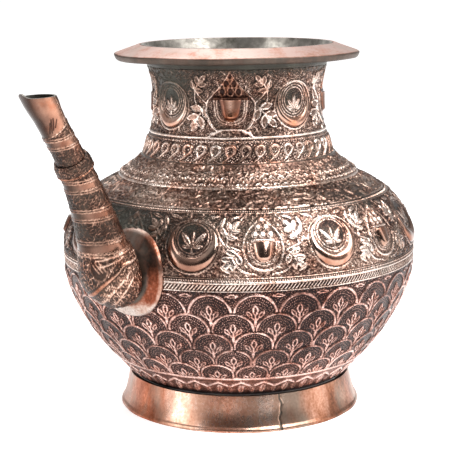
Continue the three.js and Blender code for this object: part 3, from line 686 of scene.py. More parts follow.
def chase_petals(relief, at):
    """A row of slanted notches, a row of small arches and a wavy line, all worn low."""
    offset, number = folded(at.theta, 0, 360 / PETALS_ROUND)
    x = np.radians(offset) * at.r
    shake = np.sin(number * 2.4)
    hook = np.hypot((x + shake * 0.3) / 1.15, at.s - 2.1) - 1.25
    relief.raise_by(1 - (hook / 0.8) ** 2 - 3 * (at.s < 2), 1.1, 1)
    offset, number = folded(at.theta, 2.1, 360 / (PETALS_ROUND - 6))
    x = np.radians(offset) * at.r
    arch = np.hypot(x, at.s - 6.9) - 1.7
    stroke_share = np.clip(1 - (arch / 0.8) ** 2, 0, 1) * ease(at.s, 6.2, 7.2)
    relief.raise_by(stroke_share, 1.1, 0.85 + 0.15 * np.sin(number * 1.9))
    leaf(relief, x, at.s, (0, 6.4), 18, 3, 1.5, 0.5, 0.6, 0)
    wave = at.s - 12.2 - 0.8 * np.sin(np.radians(at.theta) * 39 + np.sin(np.radians(at.theta) * 9))
    relief.line(wave, 0.6, 0.6, 0.7)
    wave = at.s - 10.4 - 0.7 * np.sin(np.radians(at.theta) * 61)
    relief.line(wave, 0.5, 0.4, 0.6)
    turn = np.radians(at.theta) * 62
    relief.kept = relief.height > 0.1
    strewn(relief, turn, at.s, (-195, 1), (195, 17), 2.9, SEED + 7, 3.3, 0.6, 0.5)
    relief.ground[:] = 0
    relief.wear_and_painted_shading = 0.5 + 0.4 * relief.wear_and_painted_shading
    relief.line(at.s - 1, 1.1, 0.7, 0.85)


PAISLEYS = 40
LOOP = curve([
    (-1.2, 3.6), (-2.2, 6.2), (-2.0, 8.6), (0.1, 9.7), (2.2, 8.8), (2.4, 6.8), (1.1, 5), (-0.6, 3.6),
    (-2.6, 1.9), (-4.8, 0.5),
], 5)
LOOP_WIDTHS = [0.6, 0.9, 1.2, 1.3, 1.2, 1.0, 0.9, 0.75, 0.75, 0.45]


def chase_paisley(relief, at):
    """Looped teardrops whose tails sweep down to the left, on a punched ground."""
    offset, number = folded(at.theta, 13.2, 360 / PAISLEYS)
    x = np.radians(offset) * at.r + 0.3 * np.sin(number * 3.1)
    for shift in (-1, 0, 1):
        near = x - shift * np.radians(360 / PAISLEYS) * at.r
        stroke(relief, near, at.s, LOOP, LOOP_WIDTHS, 1.2, 0.85 + 0.15 * np.sin(number * 1.3))
    dots = (at.theta / 360 * 190) % 1 - 0.5
    relief.raise_by(np.sqrt(np.clip(1 - (dots / 0.36) ** 2 - ((at.z - 158.9) / 0.55) ** 2, 0, 1)), 0.4, 0.75)
    relief.line(at.s - 0.2, 0.5, 0.3, 0.5)
    relief.fresh_and_painted_light = np.where(relief.height > 0.2, 0.4 * (np.sin(number * 2.1) > 0.55), 0)
    relief.wear_and_painted_shading = 0.28 + 0.7 * relief.wear_and_painted_shading


NECK_CELL = 90
NECK_CRESCENT_START = 40.5
NECK_VASE_START = -4.7
NECK_SPRIG = [(-74, 5.4, 2.3), (-38, 6.6, 2.5), (0, 7.6, 2.6), (38, 6.6, 2.5), (74, 5.4, 2.3)]
NECK_CARTOUCHE = [
    (0, 37.4), (2.4, 33.4), (6, 28.6), (9.6, 24.8), (13.2, 20.4), (13.2, 15), (11.6, 9.6), (9.2, 6.6),
    (6.4, 5.4), (0, 5.8),
]


def chase_neck(relief, at):
    """Four large crescents and four vases, with stems, oak leaves and curls between."""
    offset, _ = folded(at.theta, NECK_VASE_START, NECK_CELL)
    x = np.radians(offset) * at.r
    y = at.z - NECK_Z
    for side in (-1, 1):
        mirrored = x * side
        oak_leaf(relief, mirrored, y, (14.6, 18.5), 138 if side > 0 else 150, 16, 1.3, 1, True)
        oak_leaf(relief, mirrored, y, (21, 26.5), -38, 11.5, 0.9, 0.7, True)
        stem = curve([(13.4, 20), (17, 23.5), (20.5, 27.5), (22, 33)], 5)
        stroke(relief, mirrored, y, stem, [0.5, 0.6, 0.5], 0.7, 0.9)
        stem = curve([(15.6, 17.5), (19.4, 20), (20.5, 24.5), (19, 30)], 5)
        stroke(relief, mirrored, y, stem, [0.6, 0.6, 0.45], 0.7, 0.9)
    strewn(relief, x, y, (-39, 3), (39, 38), 2.9, SEED + 3, 2.7, 0.5, 0.75)
    mirror = np.abs(x)
    hollow = mirror < np.interp(y, *np.array(NECK_CARTOUCHE)[::-1].T[::-1])
    relief.level(hollow)
    part = Relief(x, y)
    vase(part, x, y, 22, 11.2, 6.1, 4.2, 9.8, 0.25, 4.2, True)
    bucket = part.ground < 0
    # A painted highlight: the bucket is made lighter down its middle and darker towards its sides.
    part.wear_and_painted_shading[bucket] = 0.28 + 0.42 * np.exp(-((x[bucket] / 1.7) ** 2))
    part.fresh_and_painted_light[bucket] = 0.45
    hit = hollow & (part.height > 0)
    relief.height[hit] = part.height[hit]
    relief.wear_and_painted_shading[hit] = part.wear_and_painted_shading[hit]
    relief.fresh_and_painted_light[hit] = part.fresh_and_painted_light[hit]
    relief.ground[hollow] = part.ground[hollow]
    stroke(relief, mirror, y, curve(NECK_CARTOUCHE, 6), [0.3, 0.45, 0.9, 0.6], 0.8, 0.75)
    bracket = curve([(34, 1.3), (20, 1.3), (12.4, 1.6), (10.6, 3.6), (7.4, 4.4), (5.5, 5.6), (0, 5.9)], 6)
    stroke(relief, mirror, y, bracket, [0.8, 0.9, 1.0, 0.8, 0.6], 0.9, 0.95)
    offset, _ = folded(at.theta, NECK_CRESCENT_START, NECK_CELL)
    x = np.radians(offset) * at.r
    medallion(relief, x, y - 17.9, 13.3, 9.9, 3.1, NECK_SPRIG, 3)
    relief.line(at.z - 161.1, 0.8, 0.8, 0.95)
    relief.wear_and_painted_shading = 0.25 + 0.82 * relief.wear_and_painted_shading
    relief.darken_edges(0.2)
    heap = hollow & (y > 21.8)
    relief.wear_and_painted_shading[heap] -= 0.12
    relief.fresh_and_painted_light[heap] = 0.5
    relief.punch *= 1.35
    relief.ground = np.where(relief.ground > 0, 0.85, relief.ground)


def chase_flare(relief, at):
    relief.ground[:] = 0
    relief.line(at.z - 198.6, 0.5, 0.35, 0.4)


def chase_foot(relief, at):
    relief.ground[:] = 0
    relief.line(at.z - 1.2, 1.4, 0.5, 0.9)
    # Painted reflections of the studio on the polished sheet: lighter at the front, darker to the right, and
    # more orange on the left and at the front.
    relief.wear_and_painted_shading = 0.68 + 0.24 * fading(at.theta, -2, 28) - 0.3 * fading(at.theta, 58, 24)
    left = ease(-at.theta, 34, 46) * (1 - ease(-at.theta, 75, 90))
    relief.fresh_and_painted_light = 0.6 * left + 0.5 * fading(at.theta, -8, 12)
    seam = np.radians(at.theta - 19) * at.r + 0.8 * np.sin(at.z * 0.35) + 0.3 * np.sin(at.z * 1.2)
    relief.sink_by(np.clip(1.4 - np.abs(seam) / 0.6, 0, 1), 0.4)
    relief.fresh_and_painted_light[np.abs(seam) < 0.5 + 0.3 * np.sin(at.z * 0.9)] = -0.9  # old dirt, which is dull


# The spout

SPOUT_Z = 92
SEAT_X = 106.8
SPOUT_REACH = 58.9
SPOUT_RISE = 101.1
BULB_RADIUS = 16
SPOUT_WALL = 1.3
CENTRE_SHARES = [
    (0, 0), (0.03, 0.01), (0.075, 0.022), (0.13, 0.042), (0.182, 0.077), (0.222, 0.135), (0.262, 0.22),
    (0.375, 0.39), (0.506, 0.548), (0.592, 0.64), (0.677, 0.721), (0.793, 0.817), (0.895, 0.91), (1, 1),
]
RADIUS_SHARES = [0.66, 0.94, 1.05, 1.07, 1.05, 0.94, 0.78, 0.65, 0.56, 0.5, 0.462, 0.456, 0.481, 0.612]
BREADTH_SHARES = [1] * 13 + [0.86]
TURN_DEGREES = [0, 1, 7, 19, 36, 53, 67, 67, 63, 61, 59, 57, 58, 88]
ROOT_END = 0.27
COLLAR_SHARE = 0.637
LIP_POINT = 2.2  # how far the lip is drawn up to a corner on its outer side


def through(points, t):
    """The points of an even-flowing curve through the given ones, at shares t of its count."""
    p = np.array(points, float)
    p = np.vstack([2 * p[0] - p[1], p, 2 * p[-1] - p[-2]])
    place = np.clip(t, 0, 1) * (len(p) - 3)
    i = np.minimum(place.astype(int), len(p) - 4)
    w = (place - i)[:, None]
    a, b, c, d = p[i], p[i + 1], p[i + 2], p[i + 3]

    def gap(u, v):
        return np.maximum(np.linalg.norm(v - u, axis=1)[:, None] ** 0.5, 1e-4)

    g0, g1, g2 = gap(a, b), gap(b, c), gap(c, d)
    m1 = ((b - a) / g0 - (c - a) / (g0 + g1) + (c - b) / g1) * g1
    m2 = ((c - b) / g1 - (d - b) / (g1 + g2) + (d - c) / g2) * g1
    return b + m1 * w + (3 * c - 3 * b - 2 * m1 - m2) * w**2 + (2 * b - 2 * c + m1 + m2) * w**3


CENTRES = [(SEAT_X + SPOUT_REACH * out, SPOUT_Z + SPOUT_RISE * up) for out, up in CENTRE_SHARES]
SECTIONS = [
    (BULB_RADIUS * radius, breadth, math.radians(turn))
    for radius, breadth, turn in zip(RADIUS_SHARES, BREADTH_SHARES, TURN_DEGREES)
]
FINE = np.linspace(0, 1, 801)
RUN = lengths_along(through(CENTRES, FINE))
SPOUT_LENGTH = RUN[-1]


def spout_place(share, angle, offset):
    """A point of the spout's skin at a share of its length, an angle round it, and an offset out from it."""
    t = np.interp(share * SPOUT_LENGTH, RUN, FINE)
    centre = through(CENTRES, t)
    radius, breadth, turn = through(SECTIONS, t).T
    a = np.radians(angle)
    tall = (radius + offset) * np.cos(a)
    broad = (radius * breadth + offset) * np.sin(a)
    return AXIS_X - centre[:, 0] - tall * np.sin(turn), broad, centre[:, 1] - tall * np.cos(turn)


def spout_piece(name, node, low, high, columns, step, chase, materials):
    """A stretch of the spout: a straight tube is spun, chased, and then bent to the spout's line."""
    start, end = low * SPOUT_LENGTH, high * SPOUT_LENGTH
    s = np.linspace(start, end, math.ceil((end - start) / step) + 1)
    keep = s[np.unique(np.linspace(0, len(s) - 1, max(4, len(s) // 5)).astype(int))]
    gauge = BULB_RADIUS
    profile = [(gauge, v) for v in s] + [(gauge - SPOUT_WALL, v) for v in keep[::-1]]
    piece, index, angle = spun(name, profile, columns)
    profile = np.array(profile)
    front = index < len(s)
    offset = profile[index, 0] - gauge
    run = profile[index, 1]
    radius = through(SECTIONS, np.interp(run, RUN, FINE))[:, 0]
    across = (angle + 180) % 360 - 180
    at = SimpleNamespace(angle=across[front], run=run[front], r=radius[front])
    at.x = np.radians(at.angle) * at.r
    relief = Relief(at.x, at.run)
    chase(relief, at)
    offset[front] += relief.height
    corner = ease(run, SPOUT_LENGTH - 5, SPOUT_LENGTH) * np.exp(-(((across - 12) / 20) ** 2))
    offset += LIP_POINT * 0.3 * corner
    x, y, z = spout_place(run / SPOUT_LENGTH, angle, offset)
    put(piece, x, y, z + LIP_POINT * corner)
    mark_chasing(piece, front, relief, np.zeros(len(index)))
    finish_piece(piece, node, materials, ~front)


BAND_TILT = 0.3


def tube_bands(relief, at, levels, half=1.6):
    """Plain bands across the spout, each between two thin lines. They lie more level than the tube's rounds."""
    run = at.run - BAND_TILT * at.r * (np.cos(np.radians(at.angle)) - 0.6)
    for level in levels:
        inside = np.abs(run - level) < half
        relief.height = np.where(inside, 0.15, relief.height)
        relief.burnish(inside, 0.56)
        for side in (-1, 1):
            for out in (0.5, 1.9):
                relief.line(run - level - side * (half + out), 0.62, 0.5, 0.75)


# The slanted ridge round the elbow, as (angle round the spout, length along it).
SLANT = [(60, 2), (29, 11.2), (-6, 15), (-30, 17.2), (-60, 18.8), (-85, 19.2), (-126, 12)]
# Engraved strokes beside the slanted ridge: above it lying along the band, below it along the ridge.
ROOT_STROKES = [
    [(-22, 26), (-55, 25.6), (-92, 24.2)], [(-30, 23.6), (-60, 23.4), (-86, 22.8)],
    [(20, 8.4), (-10, 11.2), (-45, 14), (-88, 15.2)], [(-20, 8.8), (-50, 10.8), (-84, 11.6)],
]
SEAM_ANGLE = -110


def on_skin(points):
    """Places in mm on the spout's skin, from angles round it and lengths along it."""
    angle, run = curve(points, 6).T
    return np.column_stack([np.radians(angle) * through(SECTIONS, np.interp(run, RUN, FINE))[:, 0], run])


def finish_spout(relief, at):
    """The brazed seam that runs up the spout's side towards the pot, and the ground's rubbing, with painted
    shade on the spout's left side and painted light on its right.
    """
    relief.line(np.radians(at.angle - SEAM_ANGLE) * at.r, 1.0, 0.2, 0.6)
    relief.ground = np.minimum(relief.ground, 0)
    burnished = relief.ground < 0
    # Painted shade and light: the left side is made darker, the right side more orange, and its far edge
    # lighter.
    left = ease(at.angle, -45, 5) * (1 - ease(at.angle, 110, 150))
    right = ease(-at.angle, 25, 65) * (1 - ease(-at.angle, 150, 175))
    relief.fresh_and_painted_light = np.maximum(relief.fresh_and_painted_light, np.where(burnished, 0.4, 0.15) * right)
    relief.wear_and_painted_shading = np.maximum(relief.wear_and_painted_shading, 0.23) - np.where(burnished, 0.26, 0.15) * left
    relief.wear_and_painted_shading += 0.1 * ease(-at.angle, 50, 80)


def chase_root(relief, at):
    strewn(relief, at.x, at.run, (-52, 1), (52, 42), 1.5, SEED + 4, 2.1, 0.34, 1)
    x = np.radians(at.angle + 26) * at.r
    ring = np.hypot(x, at.run - 23.5) - 4.8
    relief.level(ring < 0)
    for shift in (-1.9, 0, 1.9):
        leaf(relief, x, at.run, (shift, 23.5), 38, 6, 1.2, 0.6, 0.75, 0)
    relief.line(ring, 0.5, 0.5, 0.5)
    for points in ROOT_STROKES:
        distance = path_distance(at.x, at.run, on_skin(points))
        relief.height *= ease(distance, 0.5, 1.1)
        relief.line(distance, 0.55, 0.4, 0.85)
    for turn, level in ((6, 12.4), (-20, 14.4), (-42, 16), (-64, 16.8), (-84, 17)):
        leaf(relief, at.x - np.radians(turn) * 16.5, at.run, (0, level - 1.2), 62, 5, 1.7, 0.5, 0.85)
    slant = path_distance(at.x, at.run, on_skin(SLANT))
    relief.height *= ease(slant, 0.8, 1.8)
    relief.wear_and_painted_shading *= ease(slant, 0.8, 1.4)
    relief.line(slant, 0.8, 0.6, 0.78)
    relief.fresh_and_painted_light = 0.6 * (slant < 0.8) * (0.3 + 0.7 * ease(at.angle, -70, -20))
    tube_bands(relief, at, [30.3], 2.1)
    finish_spout(relief, at)


def chase_lower_tube(relief, at):
    strewn(relief, at.x, at.run, (-36, 31), (36, 78), 1.55, SEED + 5, 2.1, 0.32, 0.78)
    tube_bands(relief, at, [30.3], 2.1)
    tube_bands(relief, at, [49, 66.2])
    finish_spout(relief, at)
    relief.wear_and_painted_shading -= 0.06


# Scratches near the tip, each (place across, start and end along the spout).
SCRATCHES = [(-4.6, 101.5, 107), (-5.8, 101.5, 108.5), (-7, 102.5, 108.5), (-8.4, 103.5, 107)]


def chase_upper_tube(relief, at):
    strewn(relief, at.x, at.run, (-26, 78), (26, 103), 1.4, SEED + 6, 1.8, 0.28, 0.75)
    slope = at.run - 98.5 + np.clip(at.x, -12, 12) * 0.2
    plain = slope > 0
    relief.height[plain] = 0
    relief.line(slope, 0.45, 0.4, 0.8)
    relief.burnish(plain & (slope > 0.4), 0.66)
    tube_bands(relief, at, [93.2])
    for aside, low, high in SCRATCHES:
        scratch = path_distance(at.x, at.run, [(aside + 1.2, low), (aside - 1.4, high)])
        relief.sink_by(np.clip(1 - scratch / 0.42, 0, 1), 0.35)
    shade = ease(at.angle, -52, -8) * (1 - ease(at.angle, 100, 140)) * ease(at.run, 95, 98)
    relief.wear_and_painted_shading = relief.wear_and_painted_shading - 0.2 * shade
    finish_spout(relief, at)


COLLAR_LENGTH = 7.6
COLLAR_RADIUS = 9
COLLAR_PROFILE = [(-0.5, 0.8), (-0.42, 1.7), (-0.3, 1.43), (-0.05, 1.7), (0.25, 1.56), (0.5, 0.9)]
GAP = 0.3


def make_collar(materials):
    outer = curve(COLLAR_PROFILE, 8)
    bore = [(along, GAP) for along in (0.5, 0.25, -0.05, -0.3, -0.5)]
    steps = [(a * COLLAR_LENGTH, o) for a, o in outer] + [(a * COLLAR_LENGTH, o) for a, o in bore]
    profile = [(BULB_RADIUS + o, a) for a, o in steps]
    piece, index, angle = spun("spout_collar_swell", profile, 220)
    steps = np.array(steps)[index]
    front = index < len(outer)
    around = np.radians(angle - 180) * COLLAR_RADIUS
    relief = Relief(around, steps[:, 0])
    strewn(relief, around, steps[:, 0], (-28.2, -2.6), (28.2, 3.6), 1.5, SEED + 8, 1.8, 0.25, 0.6)
    height = relief.height * front
    x, y, z = spout_place(COLLAR_SHARE + steps[:, 0] / SPOUT_LENGTH, angle, steps[:, 1] + height)
    put(piece, x, y, z)
    lip = 1 - ease(steps[:, 0], -2.8, -2.2)
    write_marks(piece, np.clip(0.22 + relief.wear_and_painted_shading * 0.8 * (1 - lip) + 0.45 * lip, 0, 1), -0.5 * lip)
    finish_piece(piece, "spout_collar", materials)


PLATE_RADIUS = 21.8
PLATE_EDGE = 1.6
HOLE_RADIUS = 8.4
SEAT_RADIUS = BULB_RADIUS * RADIUS_SHARES[0]
DISH_POWER = 1.5
PLATE_WALL = 1.3
PLATE_GROWTH = 3.2  # how much further the plate reaches above the spout than below it
PLATE_SPREAD = 0.9  # how much further it reaches to its sides


def belly_front(aside, height):
    line = np.vstack([bowl_line(), frieze_line()[1:]])
    return np.sqrt(np.interp(height, line[:, 1], line[:, 0]) ** 2 - aside**2)


def make_plate(materials):
    """A dished disc hammered to the belly, a little taller than round, with a bright rolled rim."""
    dish = np.linspace(HOLE_RADIUS, PLATE_RADIUS - 1.4, 22)
    radii = np.concatenate([dish, PLATE_RADIUS - np.array([0.9, 0.5, 0.15])])
    lift = np.interp(radii, [PLATE_RADIUS - 2.2, PLATE_RADIUS - 1, PLATE_RADIUS], [0, 0.45, 0.1])
    profile = [(r, 0) for r in radii] + [(PLATE_RADIUS + 0.2, 0.5)] + [(r, 1 + 1e-3) for r in radii[::-1]]
    rolled = np.concatenate([np.zeros(len(radii) + 1), lift[::-1]])
    piece, index, angle = spun("spout_plate_dish", profile, 150)
    radius, side = np.array(profile)[index].T
    a = np.radians(angle)
    share = np.clip((radius - SEAT_RADIUS) / (PLATE_RADIUS - SEAT_RADIUS), 0, None)
    growth = PLATE_GROWTH * np.clip(-np.cos(a), 0, 1) ** 1.5 + PLATE_SPREAD * np.abs(np.sin(a))
    grown = radius + share * growth
    aside, height = grown * np.sin(a), SPOUT_Z - grown * np.cos(a)
    rim_radius = PLATE_RADIUS + growth
    rim = belly_front(rim_radius * np.sin(a), SPOUT_Z - rim_radius * np.cos(a)) + PLATE_EDGE
    front = SEAT_X + (rim - SEAT_X) * share**DISH_POWER
    back = np.maximum(front - PLATE_WALL, belly_front(aside, height) + GAP)
    put(piece, AXIS_X - (back + (front - back) * np.minimum(side, 1) + rolled[index]), aside, height)
    # Painted light and shade on the plate: its top is made darker as the spout's shadow, its lower part lighter
    # as a reflection of the white floor, and its dish dark and dull as shade round the root, while the rim and
    # its edge stay rubbed bright.
    above = ease(height, SPOUT_Z + 2, SPOUT_Z + 12)
    rim_share = ease(radius, PLATE_RADIUS - 7.5, PLATE_RADIUS - 5.5) * (1 - 0.6 * above)
    edge = ease(radius, PLATE_RADIUS - 1.6, PLATE_RADIUS - 0.6)
    lower = ease(-height, 11 - SPOUT_Z, 16 - SPOUT_Z)
    wear_and_painted_shading = np.clip(0.16 + 0.3 * rim_share + 0.42 * lower + 0.3 * edge, 0, 1)
    tarnish_and_painted_shading = 1 - np.maximum(np.maximum(rim_share, lower), edge) - 0.35 * rim_share * (1 - lower)
    write_marks(piece, wear_and_painted_shading, tarnish_and_painted_shading)
    finish_piece(piece, "spout_plate", materials)


# The mouth ring

def make_mouth_ring(copper, tin):
    top = curve([(55.2, 209.6), (56.2, 210), (60, 208.7), (69.3, 205.6)], 8)
    edge = curve([(70, 205.1), (70.1, 204.4), (69.3, 202.6), (68.5, 201.8)], 4)
    profile = np.vstack([[(52.65, 201.7), (53.7, 204.6)], top, edge, [(62, 201.7)]])
    piece, index, angle = spun("mouth_ring_bevel", profile, 360)
    theta = (angle - FRONT + 180) % 360 - 180
    radius, level = profile[index].T
    radius = radius + wobble(theta, level) * 0.8
    sag = 0.25 * np.sin(np.radians(theta) * 2 + 1) + 0.12 * np.sin(np.radians(theta) * 7)
    level = level + sag * ease(radius, 54, 70)
    turn = np.radians(angle)
    put(piece, AXIS_X + radius * np.cos(turn), radius * np.sin(turn), level)
    upper = (index >= 2) & (index < 2 + len(top))
    side = (index >= 2 + len(top)) & (index < len(profile) - 1)
    write_marks(piece, np.where(upper, 1.0, 0.4), np.where(side, 1.0, 0.0))
    finish_piece(piece, "mouth_ring", [copper, tin], ~(upper | side))


def make_floor_plate(materials):
    """The bowl's closed floor and the part of it that runs down inside the foot."""
    outer = curve(UNDERSIDE, 8)
    normal = outward(outer)
    inner = outer - normal * WALL
    inner[-1] = outer[-1] - (WALL / normal[-1, 0], 0)
    inner[0] = outer[0] + (0, WALL)
    flat = np.array([(radius, outer[0, 1]) for radius in (0, 9, 18, 27)])
    piece, index, _ = spun("bowl_floor", np.vstack([flat, outer, inner[::-1], flat[::-1] + (0, WALL)]), 128)
    x, y, z = places(piece).T
    put(piece, x + AXIS_X, y, z)
    write_marks(piece, np.full(len(index), 0.3))
    finish_piece(piece, "lower_bowl", materials)


# Finishes

def linear(hex_colour):
    """An sRGB hex colour as Blender's linear one."""
    channels = [int(hex_colour[i:i + 2], 16) / 255 for i in (1, 3, 5)]
    return tuple(c / 12.92 if c <= 0.04045 else ((c + 0.055) / 1.055) ** 2.4 for c in channels) + (1,)


def add(tree, kind, inputs=(), stops=(), **settings):
    """Adds a node with its settings, and gives its outputs. An input, by its place or its name, is a value or
    another node's output to link. Stops are the places and hex colours of a colour ramp."""
    made = tree.nodes.new("ShaderNode" + kind)
    for name, value in settings.items():
        setattr(made, name, value)
    for name, value in (inputs if isinstance(inputs, dict) else dict(enumerate(inputs))).items():
        if isinstance(value, bpy.types.NodeSocket):
            tree.links.new(value, made.inputs[name])
        else:
            made.inputs[name].default_value = value
    for number, (place, colour) in enumerate(stops):
        elements = made.color_ramp.elements
        element = elements[number] if number < 2 else elements.new(place)
        element.position = place
        element.color = linear(colour)
    return made.outputs


def new_material(name):
    made = bpy.data.materials.new(name)
    made.use_nodes = True
    tree = made.node_tree
    return made, tree, tree.nodes["Principled BSDF"]


def feed(tree, shader, outputs):
    """Links the shader's sockets, by name, to what feeds them."""
    for socket, value in outputs.items():
        tree.links.new(value, shader.inputs[socket])


# Scales of noise, each from the width in mm of what it draws.
SPECKS = 1 / (1.3 * MM)
PATCHES = 1 / (30 * MM)
WARMTH = 1 / (11 * MM)
FILM = 1 / (16 * MM)
PITS = 1 / (1.1 * MM)
SMEARS = 1 / (14 * MM)
TIN_DENTS = 1 / (3 * MM)
RUBBING = 1 / (12 * MM)
GRAIN = 1 / (1.4 * MM)
CLOUDS = 1 / (26 * MM)
STREAKS = 1 / (17 * MM)
DENTS = 1 / (2.4 * MM)

PUNCH_PITCH = 1.5  # mm between punch marks, as on the scales
DOT_LIFT = 0.6  # how much lighter a punch mark is than the ground round it
ORANGE_AND_PAINTED_LIGHT_TINT = "#E29F76"  # clouds of orange, and where the mesh is marked fresh, which on the spout's right side is painted light


def chased_finish(name, stops, tarnish_and_painted_shading, speckle=0.22):
    """Chased copper with patina in the ground: worn bright on the relief, with light punch dots."""
    made, tree, shader = new_material(name)
    where = add(tree, "TexCoord")["Object"]
    wear_and_painted_shading = add(tree, "Attribute", attribute_name="wear_and_painted_shading")["Fac"]
    tarnished = add(tree, "Attribute", attribute_name="tarnish_and_painted_shading")["Fac"]
    punch = add(tree, "Attribute", attribute_name="punch")["Vector"]
    across, along, ground = add(tree, "SeparateXYZ", [punch])
    dull_and_painted_shade = add(tree, "Math", [tarnished, 0], operation="MAXIMUM")[0]
    fresh_and_painted_light = add(tree, "Math", [tarnished, -1], operation="MULTIPLY", use_clamp=True)[0]
    burnish = add(tree, "Math", [ground, -1], operation="MULTIPLY", use_clamp=True)[0]
    punched = add(tree, "Math", [ground, 0], operation="MAXIMUM")[0]
    flat = add(tree, "CombineXYZ", [across, along])[0]
    from_dot = add(tree, "TexVoronoi", {"Vector": flat, "Scale": 1 / PUNCH_PITCH, "Randomness": 0.45},
                   voronoi_dimensions="2D")["Distance"]
    dot = add(tree, "MapRange", [from_dot, 0.16, 0.36, 1, 0])[0]
    dot = add(tree, "Math", [dot, punched], operation="MULTIPLY")[0]

    # How worn the copper is: by the relief and the painted light and shade in the mesh's marks, in specks and
    # wide patches, and on the dots.
    grain = add(tree, "TexNoise", {"Vector": where, "Scale": SPECKS, "Detail": 3, "Roughness": 0.65})["Fac"]
    specks = add(tree, "MapRange", [grain, 0.3, 0.7, -speckle, speckle])[0]
    fewer = add(tree, "MapRange", [burnish, 0, 1, 1, 0.15])[0]
    patches = add(tree, "TexNoise", {"Vector": where, "Scale": PATCHES, "Detail": 3, "Roughness": 0.6})["Fac"]
    patches = add(tree, "MapRange", [patches, 0.35, 0.65, -0.12, 0.12])[0]
    worn = add(tree, "Math", [specks, fewer, wear_and_painted_shading], operation="MULTIPLY_ADD")[0]
    worn = add(tree, "Math", [worn, patches], operation="ADD")[0]
    worn = add(tree, "Math", [dot, DOT_LIFT, worn], operation="MULTIPLY_ADD")[0]
    worn = add(tree, "Math", [dull_and_painted_shade, -0.42, worn], operation="MULTIPLY_ADD", use_clamp=True)[0]
    colour = add(tree, "ValToRGB", [worn], stops)["Color"]

    # Clouds of orange copper, then of grey film. The mesh's marks add to both: painted light to the orange on
    # the spout's right side, and painted shade to the grey film on the shoulder's right.
    clouds = add(tree, "TexNoise", {"Vector": where, "Scale": WARMTH, "Detail": 4, "Roughness": 0.55})["Fac"]
    clouds = add(tree, "MapRange", [clouds, 0.52, 0.68, 0, 0.4])[0]
    warm = add(tree, "Math", [clouds, fresh_and_painted_light], operation="ADD", use_clamp=True)[0]
    colour = add(tree, "Mix", {0: warm, 6: colour, 7: linear(ORANGE_AND_PAINTED_LIGHT_TINT)}, data_type="RGBA",
                 blend_type="MULTIPLY")[2]
    film = add(tree, "TexNoise", {"Vector": where, "Scale": FILM, "Detail": 4, "Roughness": 0.55})["Fac"]
    film = add(tree, "MapRange", [film, 0.5, 0.72, 0, 0.45])[0]
    grey = add(tree, "Math", [dull_and_painted_shade, 0.62, film], operation="MULTIPLY_ADD", use_clamp=True)[0]
    colour = add(tree, "Mix", {0: grey, 6: colour, 7: linear(tarnish_and_painted_shading)}, data_type="RGBA")[2]

    # Smoother where it is worn, smoothest where it is burnished, and pitted by the punch and by wear.
    rough = add(tree, "MapRange", [worn, 0, 1, 0.42, 0.2])[0]
    uneven = add(tree, "MapRange", [grain, 0.3, 0.7, -0.05, 0.05])[0]
    rough = add(tree, "Math", [rough, uneven], operation="ADD")[0]
    rough = add(tree, "Math", [burnish, -0.1, rough], operation="MULTIPLY_ADD")[0]
    pits = add(tree, "TexNoise", {"Vector": where, "Scale": PITS, "Detail": 3, "Roughness": 0.55})["Fac"]
    shallower = add(tree, "MapRange", [burnish, 0, 1, 1, 0.12])[0]
    height = add(tree, "Math", [pits, shallower], operation="MULTIPLY")[0]
    height = add(tree, "Math", [dot, 0.7, height], operation="MULTIPLY_ADD")[0]
    bump = add(tree, "Bump", {"Strength": 0.6, "Distance": 0.45 * MM, "Height": height})[0]
    metal = add(tree, "MapRange", [worn, 0, 0.5, 0.75, 1])[0]
    feed(tree, shader, {"Base Color": colour, "Roughness": rough, "Metallic": metal, "Normal": bump})
    return made


def tin_finish():
    """Wiped tin gone grey-green: soft smears and dark rubbed patches."""
    made, tree, shader = new_material("wiped_tin")
    where = add(tree, "TexCoord")["Object"]
    smears = add(tree, "TexNoise", {"Vector": where, "Scale": SMEARS, "Detail": 4, "Roughness": 0.6})["Fac"]
    colour = add(tree, "ValToRGB", [smears], [(0.3, "#45423B"), (0.5, "#86817A"), (0.7, "#C4BFB5")])["Color"]
    rough = add(tree, "MapRange", [smears, 0.3, 0.7, 0.5, 0.28])[0]
    dents = add(tree, "TexNoise", {"Vector": where, "Scale": TIN_DENTS, "Detail": 3, "Roughness": 0.55})["Fac"]
    bump = add(tree, "Bump", {"Strength": 0.5, "Distance": 0.4 * MM, "Height": dents})[0]
    feed(tree, shader, {"Base Color": colour, "Roughness": rough, "Normal": bump})
    shader.inputs["Metallic"].default_value = 0.9
    return made


# Orange of clouds and of rubbed copper, which on the foot also paints reflections.
BARE_ORANGE_AND_PAINTED_LIGHT_TINT = "#E29468"
OLD_FILM_AND_PAINTED_SHADE = "#4E4A44"  # where the mesh is marked dull: old film, and on the plate's dish painted shade


